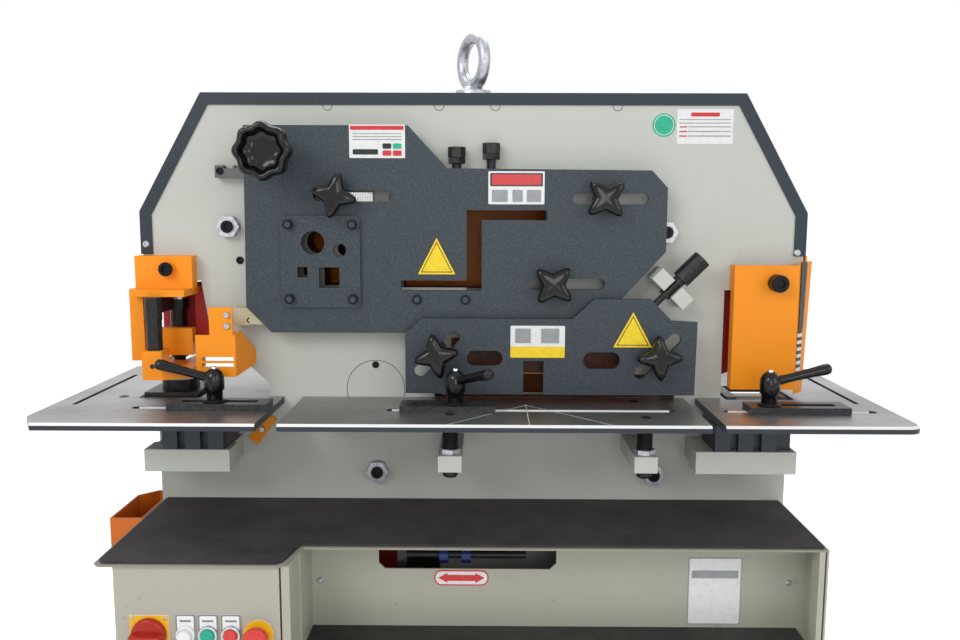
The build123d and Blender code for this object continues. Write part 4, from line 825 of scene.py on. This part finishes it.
# %% Labels
ink_tones = {
    "white": ((0.74, 0.75, 0.75), (0.68, 0.69, 0.69), 0.30),
    "red": ((0.60, 0.035, 0.040), (0.52, 0.030, 0.034), 0.30),
    "yellow": ((0.86, 0.62, 0.018), (0.78, 0.56, 0.016), 0.30),
    "black": ((0.014, 0.014, 0.015), (0.022, 0.022, 0.023), 0.30),
    "grey": ((0.30, 0.31, 0.32), (0.26, 0.27, 0.28), 0.35),
    "green": ((0.02, 0.42, 0.25), (0.016, 0.36, 0.21), 0.30),
}
ink = {
    tone: speckled(f"label_{tone}", colour, other, roughness, 0.0, 90.0, 0.00002)
    for tone, (colour, other, roughness) in ink_tones.items()
}
label_thickness = 0.5
layer_step = 0.12
UPPER_FACE = -40.0
LOWER_FACE = -56.0
BASE_FACE = -144.0


def print_label(name, y, fields, body="frame", corner=2.0):
    """Lay coloured fields in front of each other: each is (x0, x1, z0, z1, tone)."""
    for layer, (x0, x1, z0, z1, tone) in enumerate(fields):
        outline = rounded(x0, x1, z0, z1, min(corner, (z1 - z0) / 2.2))
        front = y - label_thickness - layer_step * layer
        plate(f"{name}_{layer}", outline, front, y, ink[tone], body)


print_label("guide_label", UPPER_FACE, [
    (-214, -117, 1392, 1449, "white"), (-212, -119, 1440, 1447, "red"),
    *[(-208, -123, z, z + 1.5, "grey") for z in (1433, 1428, 1423)],
    (-208, -164, 1398, 1407, "black"), (-156, -141, 1408, 1417, "black"), (-138, -123, 1408, 1417, "green"),
    (-156, -141, 1396, 1405, "red"), (-138, -123, 1396, 1405, "red"),
], "upper_guide")
print_label("slot_label", UPPER_FACE, [
    (28, 126, 1313, 1370, "white"), (31, 123, 1344, 1367, "black"), (34, 120, 1346.5, 1364.5, "red"),
    *[(x0, x1, 1317, 1338, "grey") for x0, x1 in ((34, 62), (70, 88), (95, 120))],
], "upper_guide")
print_label("lower_label", LOWER_FACE, [
    (68, 164, 1044, 1101, "yellow"), (68, 164, 1064, 1101, "white"),
    (76, 104, 1070, 1096, "grey"), (122, 154, 1070, 1096, "grey"),
], "lower_guide")
corner_fields = [(361.8, 461.1, 1420.5, 1481.0, "white"), (386, 437, 1468, 1475, "red")]
corner_fields += [(366, 457, z, z + 1.5, "grey") for z in (1462, 1456)]
for z in (1449, 1441, 1433):
    corner_fields += [(366, 380, z, z + 2, "red"), (382, 457, z + 0.5, z + 2, "grey")]
print_label("corner_label", 0.0, corner_fields)
print_label("type_plate", BASE_FACE, [
    (374, 466, 592, 713, "grey"), (376, 464, 594, 711, "white"), (380, 460, 676, 690, "grey"),
])
disc_x, disc_z = 338.7, 1453.0
disc = [(0, 0), (20.4, 0), (20.4, 0.7), (0, 0.7)]
disc_ring = [(17.6, 0.6), (17.6, 1.0), (16.6, 1.0), (16.6, 0.6)]
turned("green_disc", [(disc_x, 0.2, disc_z)], disc, ink["green"], 48)
turned("green_disc_ring", [(disc_x, 0.0, disc_z)], disc_ring, ink["white"], 48, True)
triangle_layers = ((1.0, "black"), (0.95, "yellow"), (0.80, "black"), (0.73, "yellow"))
for name, x, apex, foot, half, y, body in (
    ("beam_triangle", -62.8, 1256.5, 1188.8, 35.0, UPPER_FACE, "upper_guide"),
    ("gap_triangle", 283.5, 1128.0, 1062.0, 36.0, LOWER_FACE, "lower_guide"),
):
    middle = foot + (apex - foot) / 3
    corners = [(-half, foot - middle), (half, foot - middle), (0, apex - middle)]
    for layer, (size, tone) in enumerate(triangle_layers):
        outline = [(x + across * size, middle + z * size) for across, z in corners]
        front = y - 0.4 - layer_step * layer
        plate(f"{name}_{layer}", outline, front, y, ink[tone], body)
print("labels are on")

# %% [markdown]
# The stroke scale under the slot is an obround plate with a flat double arrow on it.

# %% Stroke arrow
stroke_fields = [(-63, 31, 660, 688, "red"), (-60.5, 28.5, 662.5, 685.5, "white")]
print_label("stroke_plate", BASE_FACE, stroke_fields, corner=14.0)
arrow = [
    (-56, 674), (-40, 683), (-40, 679.5), (8, 679.5), (8, 683),
    (24, 674), (8, 665), (8, 668.5), (-40, 668.5), (-40, 665),
]
plate("stroke_arrow", arrow, BASE_FACE - 0.9, BASE_FACE, ink["red"])
print("arrow", arrow[5][0] - arrow[0][0], "mm long")

# %% [markdown]
# ## Tables
#
# The tables are ground on top and on the front bevel, and painted on their edges. One material does both: the
# direction in which a face looks decides whether it is bare or painted, and the bevel gets a lighter colour, a
# painted highlight. Two thin scribed lines at about forty-five degrees and one square to the front are drawn on
# the middle table.

# %% Table material
def table_material():
    """Ground top, a bevel lighter in colour as a painted highlight, and painted edges, told apart by the face's
    own direction.
    """
    steel = Finish("ground_table", (0.36, 0.35, 0.34), 0.36, 1.0)
    lines = steel.noise(8.0, 6.0, 0.7, (1.0, 70.0, 1.0))
    oil = steel.noise(5.0, 7.0, 0.62)
    tone = steel.ramp(lines, (0.31, 0.312, 0.315), (0.47, 0.474, 0.478), 0.2, 0.8)
    stain = steel.ramp(oil, (0.66, 0.645, 0.63), (1, 1, 1), 0.30, 0.62)
    facing = steel.node("NewGeometry")
    split = steel.node("SeparateXYZ")
    steel.links.new(facing.outputs["Normal"], split.inputs[0])
    # Faces that look partly up and partly forward, the bevel, get a near-white colour: a painted highlight.
    bevel_highlight = steel.ramp(split.outputs["Z"], (1, 1, 1), (0, 0, 0), 0.90, 0.97)
    bare_with_bevel_highlight = steel.blend(bevel_highlight, steel.blend(1.0, tone, stain), (0.80, 0.80, 0.79, 1.0), "MIX")
    bare = steel.node("Math")
    bare.operation = "GREATER_THAN"
    bare.inputs[1].default_value = 0.3
    steel.links.new(split.outputs["Z"], bare.inputs[0])
    steel.colour(steel.blend(bare.outputs[0], (0.022, 0.028, 0.038, 1.0), bare_with_bevel_highlight, "MIX"))
    steel.links.new(bare.outputs[0], steel.shader.inputs["Metallic"])
    steel.roughen(oil, 0.50, 0.32)
    steel.bump(lines, 0.00005, 0.4)
    return steel.material


table_finish = table_material()
for side in SIDES:
    dress(f"{side}_table", table_finish)

scribed_chalk = speckled("scribed_line", (0.74, 0.75, 0.74), (0.62, 0.63, 0.62), 0.5)
half_line = 0.65
table_top = 960.0
build = bmesh.new()
for start, end in (
    ((95.5, -64.7), (-37.0, -205.8)),
    ((95.5, -64.7), (231.0, -205.8)),
    ((95.5, -60), (95.5, -205.5)),
):
    start, end = Vector(start), Vector(end)
    run = (end - start).normalized()
    side = Vector((-run.y, run.x)) * half_line
    corners = [tuple(c) for c in (start + side, end + side, end - side, start - side)]
    slab(build, corners, table_top - 0.1, table_top + 0.12, True)
settle("scribed_lines", build, scribed_chalk, "frame")
print("tables", len(SIDES))

# %% [markdown]
# ## Controls
#
# The buttons are the usual 22 mm kind: a ring, a moulded cap with a soft edge, and a legend plate behind them.
# The emergency button has a yellow disc, and the isolator is a red grip on a yellow square.

# %% Control panel
panel_y = -302.0
control_z = 650.0
lamp_x, start_x, stop_x, emergency_x, isolator_x = -438.0, -403.0, -367.5, -325.5, -494.5
isolator_screw_offset = 36.0 * math.sqrt(0.5)
grip_half_length = 25.5
grip_half_width = 7.2
panel_grey = speckled("panel_grey", (0.20, 0.21, 0.22), (0.16, 0.17, 0.18), 0.4)
legend_layers = (
    ("legend_border", 15, 632, 682, 2.5, 0.6, panel_grey),
    ("legend", 13, 634, 680, 2.0, 0.9, signal_white),
    ("legend_line", 9, 670.5, 673.5, 1.2, 1.1, panel_grey),
)
button_ring = [(14.9, 0.5), (14.9, 3), (14.2, 5.4), (12.9, 6.3), (11.8, 6.3), (11.6, 0.5)]
button_cap = [(11.0, -8), (11.0, 7.6), (10.6, 9.0), (9.6, 9.9), (7.5, 9.9), (6.5, 9.5), (0, 9.3)]
lens = [(10.4, 4), (10.4, 9), (9.4, 11), (6.5, 12.3), (3.0, 12.9), (0, 13)]
yellow_disc = [(10, 0.4), (23.7, 0.4), (23.7, 1.2), (10, 1.2)]
mushroom = [
    (8, -10), (8, 6), (14, 9), (18.6, 13), (20, 17), (20, 20.5), (19, 22.6), (16, 23.9), (9, 24.7), (0, 24.9)]
isolator_base = [(6, -8), (6, 1), (26.8, 1), (27, 3), (26.6, 8.5), (25, 10), (0, 10)]
grip_layers = [(panel_y - 9, 1.0), (panel_y - 23, 0.98), (panel_y - 26, 0.90)]


def at_panel(x):
    """The place of one control on the panel's face."""
    return [(x, panel_y, control_z)]


def grip_reach(angle):
    """The outline of the isolator's grip, a narrow rectangle, as a function of the angle."""
    return 1 / max(abs(math.cos(angle)) / grip_half_length, abs(math.sin(angle)) / grip_half_width)


for name, x in (("lamp", lamp_x), ("start", start_x), ("stop", stop_x)):
    for title, half, z0, z1, corner, proud, material in legend_layers:
        outline = rounded(x - half, x + half, z0, z1, corner)
        plate(f"{name}_{title}", outline, panel_y - proud, panel_y, material)
    material = signal_white if name == "lamp" else zinc
    turned(f"{name}_ring", at_panel(x), button_ring, material, 48, True)
for name, x, material, slot in (
    ("start", start_x, signal_green, "green_plastic"),
    ("stop", stop_x, signal_red, "red_plastic"),
):
    cap = turned(f"{name}_cap", at_panel(x), button_cap, material, 48, False, f"{name}_button")
    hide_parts(f"{name}_button")
turned("lamp_lens", at_panel(lamp_x), lens, signal_white, 48)
places, body = at_panel(emergency_x), "emergency_button"
turned("emergency_disc", places, yellow_disc, signal_yellow, 64, True)
cap = turned("emergency_mushroom", places, mushroom, signal_red, 56, False, body)
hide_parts("emergency_button")
outline = rounded(-524.6, -464.4, 619.9, 680.1, 3)
plate("isolator_plate", outline, panel_y - 0.8, panel_y, signal_yellow)
build = bmesh.new()
lathe(build, at_panel(isolator_x)[0], FORWARD, isolator_base, 64)
front_loft(build, (isolator_x, control_z), grip_reach, grip_layers, 64)
knob = settle("isolator_grip", build, switch_red, "isolator_knob", 45.0)
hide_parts("isolator_knob")
places = [
    (isolator_x + x * isolator_screw_offset, panel_y - 0.6, control_z + z * isolator_screw_offset)
    for x, z in ((1, 1), (-1, 1), (-1, -1), (1, -1))
]
screw_head = [(2.6, 0), (2.6, 1), (1.8, 1.6), (0, 1.6)]
turned("isolator_plate_screws", places, screw_head, zinc, 20)
print("controls are on")

# %% [markdown]
# ## Marks of use and making
#
# Plug rings under the hood's lip, a serrated block behind the upper guide's left slot and the striped edge of
# the notch guard are small, yet they tell this machine from a box. Thin dark sheets are painted shade on what
# is seen through the openings, and thin white strips are painted highlights on lit edges.

# %% Small parts of the frame
PALE = (0.56, 0.50, 0.33)
pale_block = speckled("pale_block", PALE, (0.50, 0.45, 0.30), 0.4)
# Dark red-brown for the sheet in the hold-down window: orange parts in painted shade.
hold_down_shade_brown = speckled("hold_down_shade_brown", (0.130, 0.036, 0.010), (0.045, 0.016, 0.008), 0.5, 0.0, 40.0)
# Dark brown for the sheet behind the flat slot: painted shade.
chute_shade_brown = speckled("chute_shade_brown", (0.050, 0.034, 0.026), (0.030, 0.022, 0.018), 0.5, 0.0, 60.0)

plug_ring = [(9.0, 0.0), (9.0, 0.5), (8.0, 0.5), (8.0, 0.0)]
places = [(x, 0.0, 1486) for x in (-257.9, -59.7, 39.9, 256.5)]
turned("plug_marks", places, plug_ring, slate_paint, 40, True)

# The blocks left of the machine's middle are pale, and the ones right of it are beige
two_tone = Finish("two_tone_blocks", BEIGE, 0.4)
across = two_tone.node("SeparateXYZ")
two_tone.links.new(two_tone.place, across.inputs[0])
two_tone.colour(two_tone.ramp(across.outputs["X"], PALE, BEIGE, 0.0, 0.01))
dress("guide_blocks", two_tone.material)
plate("gib_block_end", square(-430, -400.2, 1096, 1128), -29.5, -0.5, pale_block, "frame")

comb_left = -218.0
comb_step = 2.1
comb_count = 20
comb = [(-176, -8), (comb_left, -8)]
comb += [(comb_left + row * comb_step, -27 if row % 2 else -29) for row in range(comb_count + 1)]
build = bmesh.new()
slab(build, comb, 1313.0, 1333.0, True)
settle("serrated_block", build, bright_steel, "frame")

cheek = [(-592, 1166), (-500, 1166), (-490, 1150), (-486, 1100), (-482, 1066), (-492, 1056), (-592, 1056)]
plate("beam_cheek", cheek, 70, 75.2, beam_red, "beam")
# A dark brown sheet behind the flat slot closes the see-through gap and dims the tray wall behind it: painted
# shade.
plate("chute_shade_sheet", square(-71, 376, 874, 985), 263, 266.5, chute_shade_brown, "frame")
# A dark red-brown sheet in the hold-down window stands for the orange parts behind it in shade: painted shade.
plate("hold_down_shade_sheet", square(-38, 298, 1006, 1070), 1.6, 2.4, hold_down_shade_brown, "frame")
# A white strip on the angle blade's edge is a painted highlight on bright steel.
plate("angle_blade_highlight", square(-138, -11, 1148, 1163), -0.5, -0.05, ink["white"], "frame")
pin_edge = [(52.8, 0), (53.8, 0), (53.8, 0.3), (52.8, 0.3)]
turned("pin_edge", [(-178, 0, 975)], pin_edge, ink["black"], 96, True)
# White strips on the back walls of the table slots are painted highlights: the lit walls.
build = bmesh.new()
for x0, x1, y in ((-582, -379, -87), (-138, 343, -97), (444, 688, -97)):
    slab(build, square(x0, x1, 948.4, 959.4), y - 0.4, y)
settle("lit_slot_walls_painted", build, ink["white"], "frame")
# Black discs stand for two small holes; their dark is painted shade.
build = bmesh.new()
lathe(build, (-557.1, -84.0, 1030.3), FORWARD, [(4.2, 0.0), (4.2, 0.5), (3.4, 0.6), (3.2, 0.1), (0, 0.1)], 20)
lathe(build, (430.7, 0.0, 918.3), FORWARD, [(3.6, 0.0), (3.6, 0.4), (0, 0.4)], 20)
settle("small_holes_painted_shade", build, ink["black"], "frame")

# %% Flared flank of the notch guard
flank_corner = (580.0, -31.0)
flank_foot = 975.0
flank_head = 1213.0
foot_flare = 22.0
added_flare = 12.0
flank_sheet = 1.2
trim_proud = 1.4
stripe_foot = 1004.0
stripe_height = 6.2
stripe_count = 14


def flank_strip(build, start, end, low, high, proud):
    """A strip on the flank, between two shares of its width at foot and head."""
    rings = []
    for z, (near, far) in ((low, start), (high, end)):
        flare = foot_flare + added_flare * (z - flank_foot) / (flank_head - flank_foot)
        ring = []
        for share, depth in square(near, far, proud, proud - flank_sheet):
            run = share * flare
            ring.append(build.verts.new((flank_corner[0] + run + depth, flank_corner[1] + run - depth, z)))
        rings.append(ring)
    join_rings(build, rings)


build = bmesh.new()
flank_strip(build, (0, 1), (0, 1), flank_foot, flank_head, 0)
settle("guard_flank", build, orange_paint, "frame")
build = bmesh.new()
flank_strip(build, (0.12, 0.52), (0.10, 0.55), 1092, flank_head, trim_proud)
settle("guard_edge_trim", build, ink["black"], "frame")
for parity, tone in enumerate(("white", "black")):
    build = bmesh.new()
    for index in range(parity, stripe_count, 2):
        z0 = stripe_foot + index * stripe_height
        flank_strip(build, (0.10, 0.48), (0.10, 0.48), z0, z0 + stripe_height, trim_proud)
    settle(f"guard_edge_stripes_{parity}", build, ink[tone], "frame")
print("small parts are on")

# %% [markdown]
# The rubber mats on the tray and the shelf have fine ribs from front to back. They are a height drawn by the
# material, and the mat's own shape stays flat.

# %% Ribbed rubber
rubber = Finish("ribbed_rubber", (0.030, 0.028, 0.028), 0.68)
wave = rubber.node("TexWave", Scale=95.0, Distortion=0.0)
wave.bands_direction = "X"
rubber.links.new(rubber.place, wave.inputs["Vector"])
dust = rubber.noise(11.0, 6.0, 0.65)
rubber.colour(rubber.ramp(dust, (0.024, 0.022, 0.022), (0.052, 0.048, 0.046), 0.34, 0.70))
rubber.bump(wave.outputs["Fac"], 0.0006, 0.5)
dress("rubber_mats", rubber.material)

tray_mat = [
    (-572, -1), (-572, -291), (-563, -299), (-297, -299), (-288, -291), (-274, -225), (572, -225), (572, -1)]
shelf_mat = [(-273, -145), (-273, -228), (562, -228), (562, -145)]
build = bmesh.new()
slab(build, tray_mat, 762.0, 766.0, True)
slab(build, shelf_mat, 583.0, 587.0, True)
mats = settle("ribbed_mats", build, rubber.material, "frame")
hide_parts("rubber_mats")
print("mats are ribbed, nodes still without a finish:", sorted(undressed))

# %% [markdown]
# ## Finish
#

bpy.context.scene.view_settings.view_transform = "Standard"
